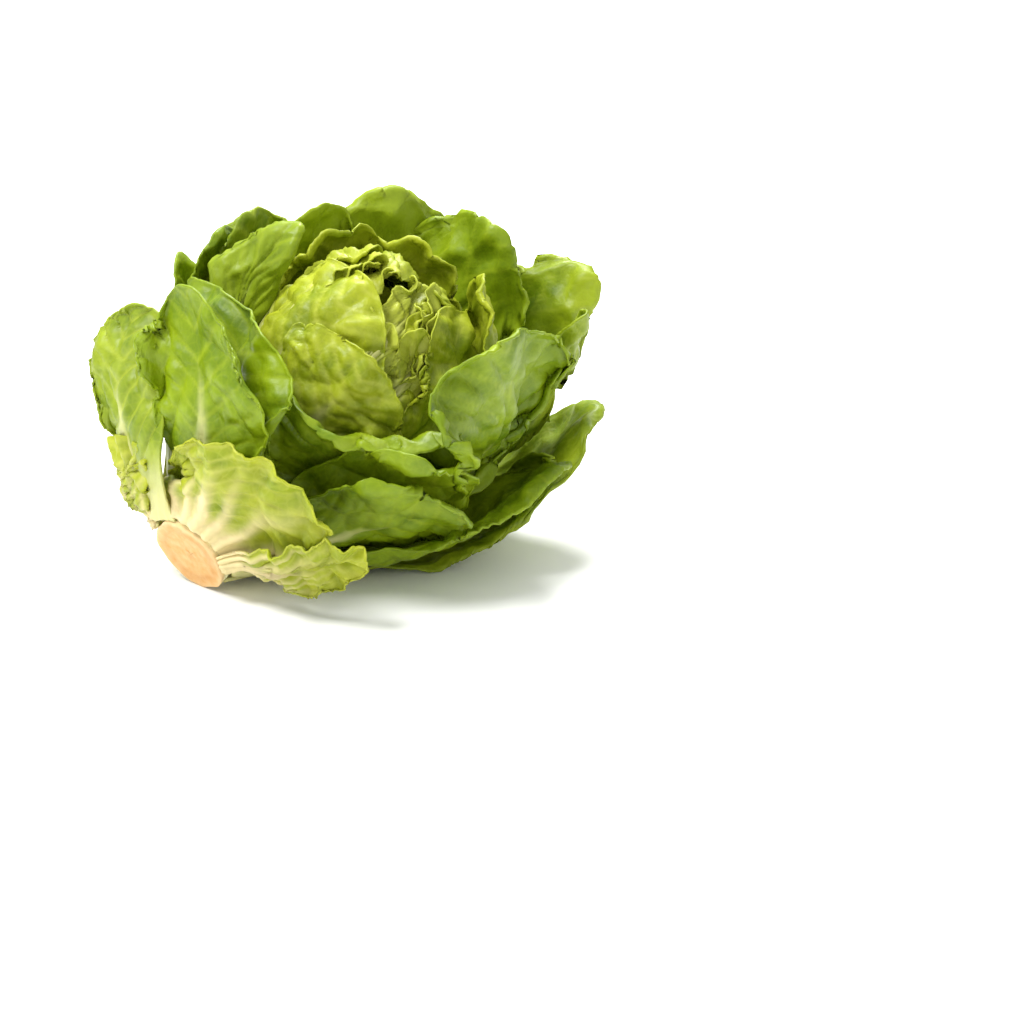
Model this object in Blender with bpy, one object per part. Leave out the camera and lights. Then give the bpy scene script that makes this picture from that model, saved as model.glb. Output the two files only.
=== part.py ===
"""A head of butterhead lettuce, lying tilted on its outer leaves with its cut root end low at one side.

The head is a nest of leaves. All of them root on a short stem. A closed heart of pale leaves sits
on the stem's upper end, and the outer leaves run round the heart in layers, each one rooted a
little nearer to the cut than the leaf inside it. The growing stem has turned, so the heart's open
crown faces up and forward while the cut end points down and to the left.

Every leaf is one curved sheet. Its midrib is a smooth curve from the stem, past a belly point, to
the tip. The blade is spread across that curve, cupped round the heart, waved at the margin, moved
outward until it clears the leaves inside it, and given its own thickness with a thicker rib.

Lengths in this script are millimetres until a mesh is made, which is in metres. The leaves are laid
out round the heart's centre, and at the end everything is moved so that the origin is on the
surface below, in the middle of the head's box.
"""

import math
from dataclasses import dataclass, replace

import bmesh
import bpy
import numpy as np
from mathutils import Vector
from mathutils.bvhtree import BVHTree

MM = 0.001

# Where the head lies while it is laid out: Z is 0 on the surface, X runs right and Y away
HEART_CENTRE = np.array([9.0, 35.0, 93.6])
CUT_CENTRE = np.array([-66.5, -3.0, 16.8])
CUT_NORMAL = np.array([-0.60, -0.66, -0.45])
CROWN_RISE = 46.0
CROWN_TURN = 16.0

# The stem, and the neck and core that carry the heart's leaves
STEM_RADIUS = 17.5
STEM_TOP_RADIUS = 12.0
STEM_LENGTH = 50.0
STEM_SIDES = 28
CORE_RADIUS = 30.0
CORE_SIDES = 20
CORE_RINGS = 13

# Blades
BLADE_THICKNESS = 0.9
RIB_THICKNESS = 2.0
RIB_HALF_WIDTH = 8.0
ROWS = 12
COLUMNS = 9
HEART_ROWS = 11
HEART_COLUMNS = 7
BETWEEN_LEAVES = 0.5
MOST_SLOPE = 0.45
SAME_POINT = 0.004
ON_STEM = 0.3

# Colours, as linear light
DEEP_GREEN = (0.12, 0.25, 0.012)
FRESH_GREEN = (0.26, 0.42, 0.025)
RIBBED_PALE = (0.52, 0.62, 0.16)
HEART_GREEN = (0.40, 0.55, 0.10)
CUT_TAN = (0.72, 0.45, 0.20)


@dataclass
class Leaf:
    """One leaf. attach is how far it roots above the cut's rim. belly and tip are the midrib's
    fullest point and its end, as (tilt, azimuth, radius) for heart_point. width is from midrib to
    margin and cup is how far each half turns towards the heart, at lower azimuth and at higher."""

    name: str
    attach: float
    belly: tuple
    tip: tuple
    width: tuple = (40.0, 40.0)
    cup: tuple = (35.0, 35.0)
    colour: tuple = FRESH_GREEN
    # how the midrib departs from an even bow: out at the shoulder, in below the belly
    shoulder: float = 0.0
    dip: float = 0.0
    # the margin: rolled outward along the sides and at the tip, and waved
    roll: tuple = (3.0, 3.0)
    tip_roll: float = 4.0
    ruffle: float = 2.0
    waves: float = 7.0
    # where along its length the blade starts to widen, its half width at the foot, and how round its end is
    start: float = 0.2
    base: float = 12.0
    roundness: float = 0.36
    # how high above the surface the leaf stays, where another one lies under it
    above_floor: float = 0.0
    # the direction that a leaf's back is twisted to, where it doesn't face away from the heart
    back_to: tuple = None
    # the belly and the tip of each side of a leaf that fans out from the stem, as they are for the midrib
    sides: tuple = None


# The outer leaves, from the heart outward
OUTER = [
    # the nest round the heart
    Leaf("leaf_nest_front", 34, (97, 262, 57), (58, 263, 62), (48, 50), roll=(4, 4), tip_roll=3, roundness=0.1,
         sides=(((98, 232, 57), (59, 208, 62)), ((97, 292, 57), (53, 310, 64)))),
    Leaf("leaf_nest_left", 33, (92, 168, 54), (48, 132, 62), (22, 24), (20, 20), roll=(4, 4), ruffle=3,
         back_to=(0.2, 0.9, -0.3)),
    Leaf("leaf_nest_corner", 34, (95, 214, 57), (53, 198, 63), (44, 46), roll=(4, 3), tip_roll=3, roundness=0.1,
         sides=(((95, 190, 57), (87, 155, 67)), ((97, 240, 57), (51, 237, 65)))),
    Leaf("leaf_nest_right", 32, (92, 322, 58), (34, 329, 67), (52, 52), roll=(6, 5), tip_roll=6, roundness=0.12,
         sides=(((95, 292, 57), (41, 272, 65)), ((92, 350, 60), (72, 16, 83)))),
    Leaf("leaf_back_right", 30, (118, 50, 62), (72, 47, 70), (38, 38), (40, 40)),
    Leaf("leaf_back_mid", 29, (118, 84, 54), (80, 84, 54), (32, 32), (35, 35)),
    Leaf("leaf_back_left", 28, (118, 114, 54), (79, 114, 56), (32, 32), (35, 35)),
    Leaf("leaf_puff_right", 25, (106, 0, 69), (60, 3, 77), (24, 22), (60, 60), DEEP_GREEN, tip_roll=-5,
         back_to=(0.5, -0.8, 0.3)),
    Leaf("leaf_left_high", 26, (115, 138, 70), (76, 134, 74), (30, 30), (35, 35), DEEP_GREEN),
    # the layer that stands off the nest
    Leaf("leaf_front_low", 24, (101, 258, 67), (75, 304, 71), (37, 38), (36, 40), start=0.1, roundness=0.45),
    Leaf("leaf_front_left", 22, (80, 220, 88), (62, 182, 88), (40, 40), roundness=0.2,
         sides=(((92, 210, 96), (76, 183, 92)), ((65, 237, 84), (48, 202, 80)))),
    Leaf("leaf_left_fold", 20, (114, 153, 76), (80, 143, 79), (27, 27), (28, 28), roll=(2, 2), tip_roll=2),
    Leaf("leaf_right_far", 19, (115, 30, 78), (84, 27, 106), (38, 42), (35, 35), DEEP_GREEN),
    Leaf("leaf_left_curl", 18, (116, 168, 82), (86, 154, 86), (26, 24), (30, 30)),
    Leaf("leaf_front_under", 17, (106, 262, 77), (84, 300, 80), (44, 38), (38, 35), roll=(5, 4), start=0.1,
         roundness=0.45),
    # the outermost leaves, some of which carry the head
    Leaf("leaf_front_base", 4, (94, 228, 98), (70, 226, 94), (50, 62), colour=RIBBED_PALE, roundness=0.22,
         sides=(((108, 219, 97), (98, 212, 93)), ((97, 250, 100), (70, 267, 92)))),
    Leaf("leaf_right_low", 14, (116, 314, 84), (85, 328, 87), (44, 44), (40, 40), above_floor=6.4),
    Leaf("leaf_left_puff", 9, (97, 196, 107), (90, 173, 98), (24, 34), (55, 50), DEEP_GREEN, tip_roll=-4,
         back_to=(-0.6, -0.8, 0.0)),
    Leaf("leaf_right_side", 10, (124, 338, 96), (104, 5, 100), (36, 40), (40, 40), DEEP_GREEN, above_floor=3.2),
    Leaf("leaf_behind_right", 8, (128, 82, 84), (106, 82, 88), (40, 40), (40, 40), DEEP_GREEN),
    Leaf("leaf_behind_left", 7, (126, 125, 86), (102, 124, 90), (46, 46), (40, 40), DEEP_GREEN),
    Leaf("leaf_behind_low", 8, (154, 318, 107), (134, 40, 104), (36, 40), (25, 25), DEEP_GREEN, start=0.3),
    Leaf("leaf_left_low", 5, (112, 211, 108), (102, 201, 108), (32, 34), colour=RIBBED_PALE, roundness=0.2,
         sides=(((108, 221, 98), (88, 208, 98)), ((115, 203, 118), (110, 196, 118)))),
    Leaf("leaf_under", 5, (97, 252, 104), (85, 270, 99), (42, 40), colour=RIBBED_PALE, ruffle=3, roundness=0.22,
         sides=(((92, 247, 103), (74, 266, 95)), ((104, 253, 106), (94, 269, 103)))),
]

# The heart's leaves, from the middle outward
HEART = [
    Leaf("crumple_front", 60, (60, 330, 35), (10, 330, 36), (20, 20), (40, 40)),
    Leaf("crumple_left", 60, (60, 190, 35), (6, 200, 35), (20, 20), (40, 40)),
    Leaf("crumple_back", 60, (70, 80, 34), (14, 80, 36), (18, 18), (40, 40)),
    Leaf("crumple_right", 60, (70, 25, 36), (22, 25, 38), (18, 18), (40, 40)),
    Leaf("crumple_far", 60, (70, 120, 37), (24, 118, 39), (18, 18), (40, 40)),
    Leaf("wrap_right", 58, (72, 330, 41), (30, 12, 41), (30, 30), (45, 45)),
    Leaf("wrap_left", 57, (68, 204, 43), (8, 150, 43), (34, 36), (60, 60), roundness=0.2),
    Leaf("wrap_front", 56, (80, 238, 48), (36, 266, 46), (38, 34), (50, 50)),
    Leaf("wrap_edge", 55, (85, 8, 49), (44, 28, 51), (30, 30), (45, 45)),
    Leaf("wrap_back_right", 54, (100, 66, 45), (62, 68, 45), (36, 36), (40, 40)),
    Leaf("wrap_back_left", 53, (100, 112, 45), (64, 112, 45), (30, 30), (40, 40)),
]
for scale in HEART:
    scale.ruffle, scale.tip_roll = 1.0, 2.0


# Vectors and curves

def unit(v):
    return v / np.linalg.norm(v, axis=-1, keepdims=True)


def smoothstep(low, high, x):
    t = np.clip((x - low) / (high - low), 0.0, 1.0)
    return t * t * (3.0 - 2.0 * t)


def natural_spline(knots, values, at):
    """Values of the natural cubic spline through (knots, values), at the given places."""
    knots, values, at = np.asarray(knots, float), np.asarray(values, float), np.asarray(at, float)
    n, h = len(knots), np.diff(knots)
    system, right = np.eye(n), np.zeros_like(values)
    slopes = np.diff(values, axis=0) / (h if values.ndim == 1 else h[:, None])
    for k in range(1, n - 1):
        system[k, k - 1 : k + 2] = h[k - 1], 2 * (h[k - 1] + h[k]), h[k]
        right[k] = 6 * (slopes[k] - slopes[k - 1])
    bend = np.linalg.solve(system, right)
    cell = np.clip(np.searchsorted(knots, at) - 1, 0, n - 2)
    before, after, step = at - knots[cell], knots[cell + 1] - at, h[cell]
    if values.ndim > 1:
        before, after, step = before[..., None], after[..., None], step[..., None]
    cubic = (bend[cell] * after**3 + bend[cell + 1] * before**3) / (6 * step)
    low = (values[cell] / step - bend[cell] * step / 6) * after
    high = (values[cell + 1] / step - bend[cell + 1] * step / 6) * before
    return cubic + low + high


def between(values, place):
    """Values of an evenly spaced list at places from 0 to 1 along it, on straight lines."""
    x = place * (len(values) - 1)
    low = np.clip(x.astype(int), 0, len(values) - 2)
    part = (x - low)[..., None]
    return values[low] * (1 - part) + values[low + 1] * part


def crown_axes():
    """The direction that the crown faces, and two directions across it: to the right, and to the back."""
    rise, turn = math.radians(CROWN_RISE), math.radians(CROWN_TURN)
    face = np.array([math.sin(turn) * math.cos(rise), -math.cos(turn) * math.cos(rise), math.sin(rise)])
    right = unit(np.array([1.0, 0.0, 0.0]) - face[0] * face)
    return face, right, np.cross(face, right)


FACE, RIGHT, BACK = crown_axes()
CUT = unit(CUT_NORMAL)
STEM_AXIS = unit(HEART_CENTRE - CUT_CENTRE)
STEM_SIDE = unit(np.cross(STEM_AXIS, [0.0, 0.0, 1.0]))
STEM_UP = np.cross(STEM_SIDE, STEM_AXIS)


def heart_point(tilt, azimuth, radius):
    """The point at this angle from the crown's axis, turned by azimuth from the right towards the back."""
    t, a = math.radians(tilt), math.radians(azimuth)
    across = math.cos(a) * RIGHT + math.sin(a) * BACK
    return HEART_CENTRE + radius * (math.sin(t) * across + math.cos(t) * FACE)


def stem_radius(along):
    return STEM_RADIUS + (STEM_TOP_RADIUS - STEM_RADIUS) * np.clip(along / STEM_LENGTH, 0.0, 1.0)


def rim_slant(out, along):
    """How far up the stem the slanting cut reaches at this offset from the axis, less higher up."""
    return -(out @ CUT) / (STEM_AXIS @ CUT) * (1 - along / STEM_LENGTH)


# One leaf's sheet

def root_of(leaf):
    """Where the leaf roots on the stem's side, and the direction out of the stem there."""
    foot = CUT_CENTRE + leaf.attach * STEM_AXIS
    aim = heart_point(*leaf.belly) - foot
    out = unit(aim - (aim @ STEM_AXIS) * STEM_AXIS)
    offset = stem_radius(leaf.attach) * out
    return foot + offset + rim_slant(offset, leaf.attach) * STEM_AXIS, out


def midrib(leaf, count=120):
    """Points along the midrib, evenly spaced by length, from the stem to the tip."""
    root, out = root_of(leaf)
    leave = root + 13.0 * unit(out + 0.9 * STEM_AXIS)
    belly, tip = heart_point(*leaf.belly), heart_point(*leaf.tip)
    to_leave, to_belly, to_tip = (unit(p - HEART_CENTRE) for p in (leave, belly, tip))
    leave_reach = np.linalg.norm(leave - HEART_CENTRE)
    below = 0.3 * leave_reach + 0.7 * leaf.belly[2] - leaf.dip
    above = 0.5 * (leaf.belly[2] + leaf.tip[2]) + leaf.shoulder
    knots = np.array([
        root,
        leave,
        HEART_CENTRE + below * unit(to_leave + to_belly),
        belly,
        HEART_CENTRE + above * unit(to_belly + 1.1 * to_tip),
        tip,
    ])
    at = np.concatenate([[0], np.cumsum(np.linalg.norm(np.diff(knots, axis=0), axis=1) ** 0.8)])
    dense = natural_spline(at, knots, np.linspace(0, at[-1], 400))
    along = np.concatenate([[0], np.cumsum(np.linalg.norm(np.diff(dense, axis=0), axis=1))])
    even = np.linspace(0, along[-1], count)
    return np.stack([np.interp(even, along, dense[:, k]) for k in range(3)], axis=1)


def evened(values, reach=22):
    """The values, each averaged with its neighbours on both sides."""
    padded = np.pad(values, ((reach + 1, reach), (0, 0)), mode="edge")
    total = np.cumsum(padded, axis=0)
    return (total[2 * reach + 1 :] - total[: -2 * reach - 1]) / (2 * reach + 1)


def leaf_frame(leaf, line):
    """For each point of the midrib: the direction out of the blade's back, and the one across it, which
    turns slowly where the midrib bends, so the blade doesn't fold there."""
    u = np.linspace(0, 1, len(line))[:, None]
    tangent = unit(np.gradient(line, axis=0))
    near_stem = 1.0 - smoothstep(0.1, 0.55, u)
    away = unit(unit(line - HEART_CENTRE) + 1.6 * near_stem * root_of(leaf)[1])
    back = unit(away - (away * tangent).sum(1)[:, None] * tangent)
    if leaf.back_to:
        twisted = np.array(leaf.back_to) - (tangent @ np.array(leaf.back_to))[:, None] * tangent
        share = smoothstep(0.3, 0.6, u)
        back = unit((1 - share) * back + share * unit(twisted))
    across = np.cross(tangent, back)
    on_blade = smoothstep(0.05, 0.3, u)
    return back, unit((1 - on_blade) * across + on_blade * evened(across))


def half_width(leaf, u, v):
    """Half the blade's width at u, from 0 at the foot to 1 at the tip, on the side that v is on."""
    along = np.interp(u, [0, leaf.start, 1], [0, 0.2, 1])
    share = natural_spline([0, 0.2, 0.45, 0.7, 0.9, 1.0], [0, 0.12, 0.62, 1.0, 0.95, 0.78], along)
    return leaf.base * (1 - smoothstep(0.0, 0.5, along)) + np.where(v < 0, *leaf.width) * share


def leaf_grid(leaf, rows, columns):
    """The leaf's middle surface as a grid of points, with each point's place along the leaf, from 0 to
    1, and across it, from -1 to 1."""
    line = midrib(leaf)
    length = np.linalg.norm(np.diff(line, axis=0), axis=1).sum()
    u, v = np.meshgrid(np.linspace(0, 1, rows), np.linspace(-1, 1, columns), indexing="ij")
    v = np.sign(v) * np.abs(v) ** 0.85
    place = u * (1 - leaf.roundness * u * np.abs(v) ** 2.6)
    width, reach = half_width(leaf, place, v), np.abs(v)
    if leaf.sides:
        points, out = fanned(leaf, line, place, v)
    else:
        points, out = bowed(leaf, line, place, v, width)

    # the margin's roll and waves
    roll = np.where(v < 0, *leaf.roll) * smoothstep(0.6, 1.0, reach) * smoothstep(0.3, 0.7, place)
    roll = roll + leaf.tip_roll * smoothstep(0.8, 1.0, u) * (1 - 0.7 * reach**3)
    angle = leaf.waves * np.arctan2(v * width, (place - 0.45) * length)
    margin = np.maximum(reach**3 * smoothstep(0.25, 0.6, place), smoothstep(0.6, 1.0, u))
    wave = leaf.ruffle * margin * (np.sin(angle) + 0.5 * np.sin(2.3 * angle))
    return points + (roll + wave)[..., None] * out, place, v


def bowed(leaf, line, place, v, width):
    """A blade bowed across its midrib: round the stem's side at the foot, and round the heart above."""
    back, across = leaf_frame(leaf, line)
    reach = np.abs(v)
    on_blade = smoothstep(0.1, 0.5, place)
    cup = np.radians(np.where(v < 0, *leaf.cup))
    bow = leaf.base / STEM_RADIUS * (1 - on_blade) + cup * on_blade
    sideways = np.sign(v) * width * np.sin(bow * reach) / bow
    inward = width * (1 - np.cos(bow * reach)) / bow
    side, out = between(across, place), between(back, place)
    return between(line, place) + sideways[..., None] * side - inward[..., None] * out, out


def fanned(leaf, line, place, v):
    """A blade that fans out from the stem, spread across the curves of its two sides and its midrib."""
    low, high = (midrib(replace(leaf, belly=belly, tip=tip)) for belly, tip in leaf.sides)
    shares = (0.5 * v * (v - 1), 1 - v * v, 0.5 * v * (v + 1))
    points = sum(share[..., None] * between(curve, place) for share, curve in zip(shares, (low, line, high)))
    return points, grid_normals(points)


def blade_thickness(leaf, u, v):
    """The blade's thickness: a thin leaf with a rib along its middle that fades towards the tip."""
    off_rib = v * half_width(leaf, u, v) / RIB_HALF_WIDTH
    return BLADE_THICKNESS + RIB_THICKNESS * (1 - smoothstep(0.0, 0.85, u)) * np.exp(-off_rib**2)


# Grids and solids

def grid_normals(points):
    return unit(np.cross(np.gradient(points, axis=1), np.gradient(points, axis=0)))


def grid_triangles(rows, columns):
    """The grid's triangles, with the cells' diagonals turned from one to the next."""
    index = np.arange(rows * columns).reshape(rows, columns).tolist()
    faces = []
    for i in range(rows - 1):
        for j in range(columns - 1):
            a, b, c, d = index[i][j], index[i][j + 1], index[i + 1][j + 1], index[i + 1][j]
            faces += [(a, b, c), (a, c, d)] if (i + j) % 2 else [(a, b, d), (b, c, d)]
    return faces


def solid_between(outer, inner):
    """A closed solid between two grids, split into triangles alike on both."""
    rows, columns = outer.shape[:2]
    index = np.arange(rows * columns).reshape(rows, columns)
    rim = [int(k) for k in (*index[0, :], *index[1:, -1], *index[-1, -2::-1], *index[-2:0:-1, 0])]
    under = rows * columns
    faces = []
    for a, b, c in grid_triangles(rows, columns):
        faces += [(a, b, c), (c + under, b + under, a + under)]
    for a, b in zip(rim, rim[1:] + rim[:1]):
        faces += [(b, a, a + under), (b, a + under, b + under)]
    return np.concatenate([outer.reshape(-1, 3), inner.reshape(-1, 3)]), faces


def sheet_solid(points, thick):
    """The sheet with its own thickness, half to each side of the grid."""
    half = 0.5 * thick[..., None] * grid_normals(points)
    return solid_between(points + half, points - half)


def scale_solid(points):
    """A leaf of the heart: thin at its margin, and filled in towards the core behind it."""
    rows, columns = points.shape[:2]
    i, j = np.indices((rows, columns))
    edge = np.minimum(np.minimum(j, columns - 1 - j), rows - 1 - i)
    depth = np.interp(edge, [0, 1, 2, 3], [BLADE_THICKNESS, 1.6, 4.0, 7.0])[..., None]
    inward = np.where((edge < 2)[..., None], grid_normals(points), unit(points - HEART_CENTRE))
    return solid_between(points, points - inward * depth)


def lathe_solid(rings, end):
    """A turned solid: the middle of its first end, its rings in order, and the middle of its last end."""
    count, sides = len(rings), len(rings[0])
    points = np.concatenate([[rings[0].mean(axis=0)], *rings, [end]])
    faces = []
    for k in range(sides):
        right = (k + 1) % sides
        faces.append((0, 1 + k, 1 + right))
        for r in range(count - 1):
            a, b = 1 + r * sides + k, 1 + r * sides + right
            faces += [(a, a + sides, b), (b, a + sides, b + sides)]
        last = 1 + (count - 1) * sides
        faces.append((1 + count * sides, last + right, last + k))
    return points, faces


def ring(radius, sides):
    """Offsets from the stem's axis to points round it."""
    turn = np.linspace(0, 2 * math.pi, sides, endpoint=False)[:, None]
    return radius * (np.cos(turn) * STEM_SIDE + np.sin(turn) * STEM_UP)


def stem_solid():
    """The stem: narrower upward, its lower end cut aslant with a worn rim."""
    rings = []
    for share, worn in ((0.0, 0.6), (0.03, 0.0), (0.35, 0.0), (0.7, 0.0), (1.0, 0.0)):
        along = share * STEM_LENGTH
        offset = ring(stem_radius(along) - worn, STEM_SIDES)
        rings.append(CUT_CENTRE + offset + (along + rim_slant(offset, along))[:, None] * STEM_AXIS)
    return lathe_solid(rings, CUT_CENTRE + STEM_LENGTH * STEM_AXIS)


def core_solid():
    """The heart's core: a ball, drawn out to a neck that meets the stem."""
    middle = np.linalg.norm(HEART_CENTRE - CUT_CENTRE)
    low, high = STEM_LENGTH + ON_STEM, middle + CORE_RADIUS
    rings = []
    for t in np.linspace(0, 1, CORE_RINGS + 1)[:-1]:
        along = low + t * (high - low)
        ball = math.sqrt(max(CORE_RADIUS**2 - (along - middle) ** 2, 0.0))
        neck = STEM_TOP_RADIUS + 10.0 * t if along < middle else 0.0
        rings.append(CUT_CENTRE + along * STEM_AXIS + ring(max(ball, neck), CORE_SIDES))
    return lathe_solid(rings, CUT_CENTRE + high * STEM_AXIS)


# Laying the leaves round each other

def search_tree(solids):
    """One search tree over the given (points, faces) solids."""
    points, faces, count = [], [], 0
    for solid, triangles in solids:
        points += [Vector(p) for p in solid]
        faces += [tuple(k + count for k in t) for t in triangles]
        count += len(solid)
    return BVHTree.FromPolygons(points, faces)


def finer(grid, times=3):
    """The grid with more rows and columns between its own, on straight lines."""
    for axis in (0, 1):
        size = grid.shape[axis]
        at = np.linspace(0, size - 1, (size - 1) * times + 1)
        low = np.minimum(at.astype(int), size - 2)
        part = (at - low).reshape([-1 if k == axis else 1 for k in range(grid.ndim)])
        grid = np.take(grid, low, axis) * (1 - part) + np.take(grid, low + 1, axis) * part
    return grid


def largest_near(fine, times=3):
    """For each point of the coarse grid, the largest value of the finer grid in the cells round it."""
    rows, columns = (fine.shape[0] - 1) // times + 1, (fine.shape[1] - 1) // times + 1
    padded = np.pad(fine, times, mode="edge")
    best = np.full((rows, columns), -np.inf)
    for i in range(2 * times + 1):
        for j in range(2 * times + 1):
            there = padded[i : i + rows * times : times, j : j + columns * times : times]
            best = np.maximum(best, there[:rows, :columns])
    return best


def spread(need, points):
    """A move that is at least as large as the need everywhere and falls off gently, so nothing folds."""
    move = need
    along = MOST_SLOPE * np.linalg.norm(np.diff(points, axis=0), axis=-1)
    across = MOST_SLOPE * np.linalg.norm(np.diff(points, axis=1), axis=-1)
    for _ in range(len(points)):
        down = np.pad(move[:-1] - along, ((1, 0), (0, 0)))
        up = np.pad(move[1:] - along, ((0, 1), (0, 0)))
        right = np.pad(move[:, :-1] - across, ((0, 0), (1, 0)))
        left = np.pad(move[:, 1:] - across, ((0, 0), (0, 1)))
        move = np.maximum.reduce([move, down, up, right, left])
    return move


def moved_out(points, move):
    return points + move[..., None] * unit(points - HEART_CENTRE)


def rays_to(points):
    """Distance and direction from the heart's centre for points all over the grid."""
    away = finer(points).reshape(-1, 3) - HEART_CENTRE
    reach = np.linalg.norm(away, axis=1)
    return [(r, Vector(a)) for r, a in zip(reach, away / reach[:, None])]


def outside(laid, thick, tree, inside, rounds=6):
    """The grid moved away from the heart's centre until it clears what the tree holds, and until the
    points inside it, given by their rays, are all on its inner side."""
    rows, columns = thick.shape
    centre = Vector(HEART_CENTRE)
    points, move = laid, np.zeros(thick.shape)
    for _ in range(rounds):
        fine = finer(points)
        reach = np.linalg.norm(fine - HEART_CENTRE, axis=-1)
        away = unit(fine - HEART_CENTRE)
        lean = np.clip(np.abs((grid_normals(fine) * away).sum(-1)), 0.35, 1.0)
        clear = BETWEEN_LEAVES + 0.5 * finer(thick) / lean
        need = np.zeros(reach.shape)
        for i, j in np.ndindex(reach.shape):
            ray = Vector(away[i, j])
            hit = tree.ray_cast(centre + ray * 400.0, -ray)
            if hit[0] is not None:
                need[i, j] = 400.0 - hit[3] + clear[i, j] - reach[i, j]
        need = np.maximum(largest_near(need), 0.0)
        sheet = search_tree([(points.reshape(-1, 3), grid_triangles(rows, columns))])
        for distance, ray in inside:
            hit = sheet.ray_cast(centre, ray)
            short = 0.0 if hit[0] is None else distance + BETWEEN_LEAVES + 1.2 - hit[3]
            if short > 0:
                i, j = divmod(hit[2] // 2, columns - 1)
                np.maximum(need[i : i + 2, j : j + 2], short, out=need[i : i + 2, j : j + 2])
        if need.max() < 0.05:
            break
        move = spread(move + need, laid)
        points = moved_out(laid, move)
    return points


def off_stem(points, thick, leaf):
    """The grid moved off the stem's side, and kept behind the cut near it."""
    along = (points - CUT_CENTRE) @ STEM_AXIS
    foot = CUT_CENTRE + along[..., None] * STEM_AXIS
    distance = np.linalg.norm(points - foot, axis=-1)
    need = stem_radius(along) + ON_STEM + 0.5 * thick + (0.5 if leaf.sides else 0.0)
    low = (distance < need) & (along < STEM_LENGTH + 2)
    points = np.where(low[..., None], foot + unit(points - foot) * need[..., None], points)
    past = np.maximum((points - CUT_CENTRE) @ CUT + 1.5, 0.0)
    near = 1 - smoothstep(STEM_RADIUS + 4, STEM_RADIUS + 16, distance)
    return points - (past * near)[..., None] * CUT


def off_floor(points, thick, above):
    """The grid kept above the surface, flattened where the head's weight presses it down."""
    level, soft = 0.5 * thick + above, 3.0
    height = points[..., 2] - level
    pressed = np.where(height > soft, height, soft * np.exp(np.minimum(height / soft - 1, 0)))
    return np.dstack([points[..., :2], pressed + level])


def laid_heart():
    """The heart's leaves as grids that clear the core and each other."""
    solids, grids, inside = [core_solid()], [], []
    for leaf in HEART:
        points, u, v = leaf_grid(leaf, HEART_ROWS, HEART_COLUMNS)
        thick = 0.6 * blade_thickness(leaf, u, v)
        points = outside(points, thick, search_tree(solids), inside, rounds=3)
        solids.append(sheet_solid(points, thick))
        inside += rays_to(points)
        grids.append(points)
    return grids


def laid_leaves(hearts):
    """The outer leaves as grids that clear the heart, the stem and each other."""
    solids = [core_solid()] + [scale_solid(points) for points in hearts]
    inside = [ray for points in hearts for ray in rays_to(points)]
    laid = []
    for leaf in OUTER:
        points, u, v = leaf_grid(leaf, ROWS, COLUMNS)
        thick = blade_thickness(leaf, u, v)
        points = outside(off_stem(points, thick, leaf), thick, search_tree(solids), inside)
        points = off_floor(off_stem(points, thick, leaf), thick, leaf.above_floor)
        solids.append(sheet_solid(points, thick))
        inside += rays_to(points)
        laid.append((points, thick))
    return part_crossing(laid, search_tree(solids[: len(hearts) + 1]), len(solids))


def part_crossing(laid, heart, rounds):
    """The leaves after any that still cross are moved a little further out, inner ones first."""
    laid = list(laid)
    for _ in range(rounds):
        trees = [search_tree([sheet_solid(*grid)]) for grid in laid]
        crossing = False
        for k, (points, thick) in enumerate(laid):
            need = np.zeros(thick.size)
            faces = sheet_solid(points, thick)[1]
            for inner in [heart] + trees[:k]:
                for _, face in inner.overlap(trees[k]):
                    need[[vertex % thick.size for vertex in faces[face]]] = 0.6
            if need.any():
                crossing = True
                points = moved_out(points, spread(need.reshape(thick.shape), points))
                points = off_stem(points, thick, OUTER[k])
                laid[k] = (off_floor(points, thick, OUTER[k].above_floor), thick)
        if not crossing:
            break
    return laid


# Objects

def surface_material(name, colour, roughness):
    material = bpy.data.materials.new(name)
    material.use_nodes = True
    shader = material.node_tree.nodes["Principled BSDF"]
    shader.inputs["Base Color"].default_value = (*colour, 1.0)
    shader.inputs["Roughness"].default_value = roughness
    shader.inputs["Metallic"].default_value = 0.0
    return material


def add_object(name, solid, colour, roughness=0.45):
    points, faces = solid
    mesh = bpy.data.meshes.new(name)
    mesh.from_pydata([tuple(p) for p in points * MM], [], faces)
    mesh.update()
    mesh.materials.append(surface_material(name, colour, roughness))
    mesh.shade_smooth()
    made = bpy.data.objects.new(name, mesh)
    bpy.context.scene.collection.objects.link(made)
    return made


def fuse(target, others):
    """One Boolean union of the target with the other objects, which are then removed."""
    group = bpy.data.collections.new("fused")
    bpy.context.scene.collection.children.link(group)
    for other in others:
        bpy.context.scene.collection.objects.unlink(other)
        group.objects.link(other)
    union = target.modifiers.new("fuse", "BOOLEAN")
    union.operation = "UNION"
    union.operand_type = "COLLECTION"
    union.collection = group
    union.solver = "MANIFOLD"
    with bpy.context.temp_override(object=target, active_object=target):
        bpy.ops.object.modifier_apply(modifier=union.name)
    for other in others:
        bpy.data.objects.remove(other, do_unlink=True)
    bpy.data.collections.remove(group)


def keep_main_body(target):
    """The object's largest closed body alone: sealed hollows are filled and loose scraps dropped."""
    shape = bmesh.new()
    shape.from_mesh(target.data)
    bmesh.ops.remove_doubles(shape, verts=shape.verts, dist=SAME_POINT * MM)
    left, bodies = set(shape.faces), []
    while left:
        body, border = [], [left.pop()]
        while border:
            face = border.pop()
            body.append(face)
            near = {other for edge in face.edges for other in edge.link_faces} & left
            left -= near
            border += near
        bodies.append(body)
    bodies.sort(key=len)
    bmesh.ops.delete(shape, geom=[face for body in bodies[:-1] for face in body], context="FACES")
    shape.to_mesh(target.data)
    shape.free()
    target.data.update()


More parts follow.
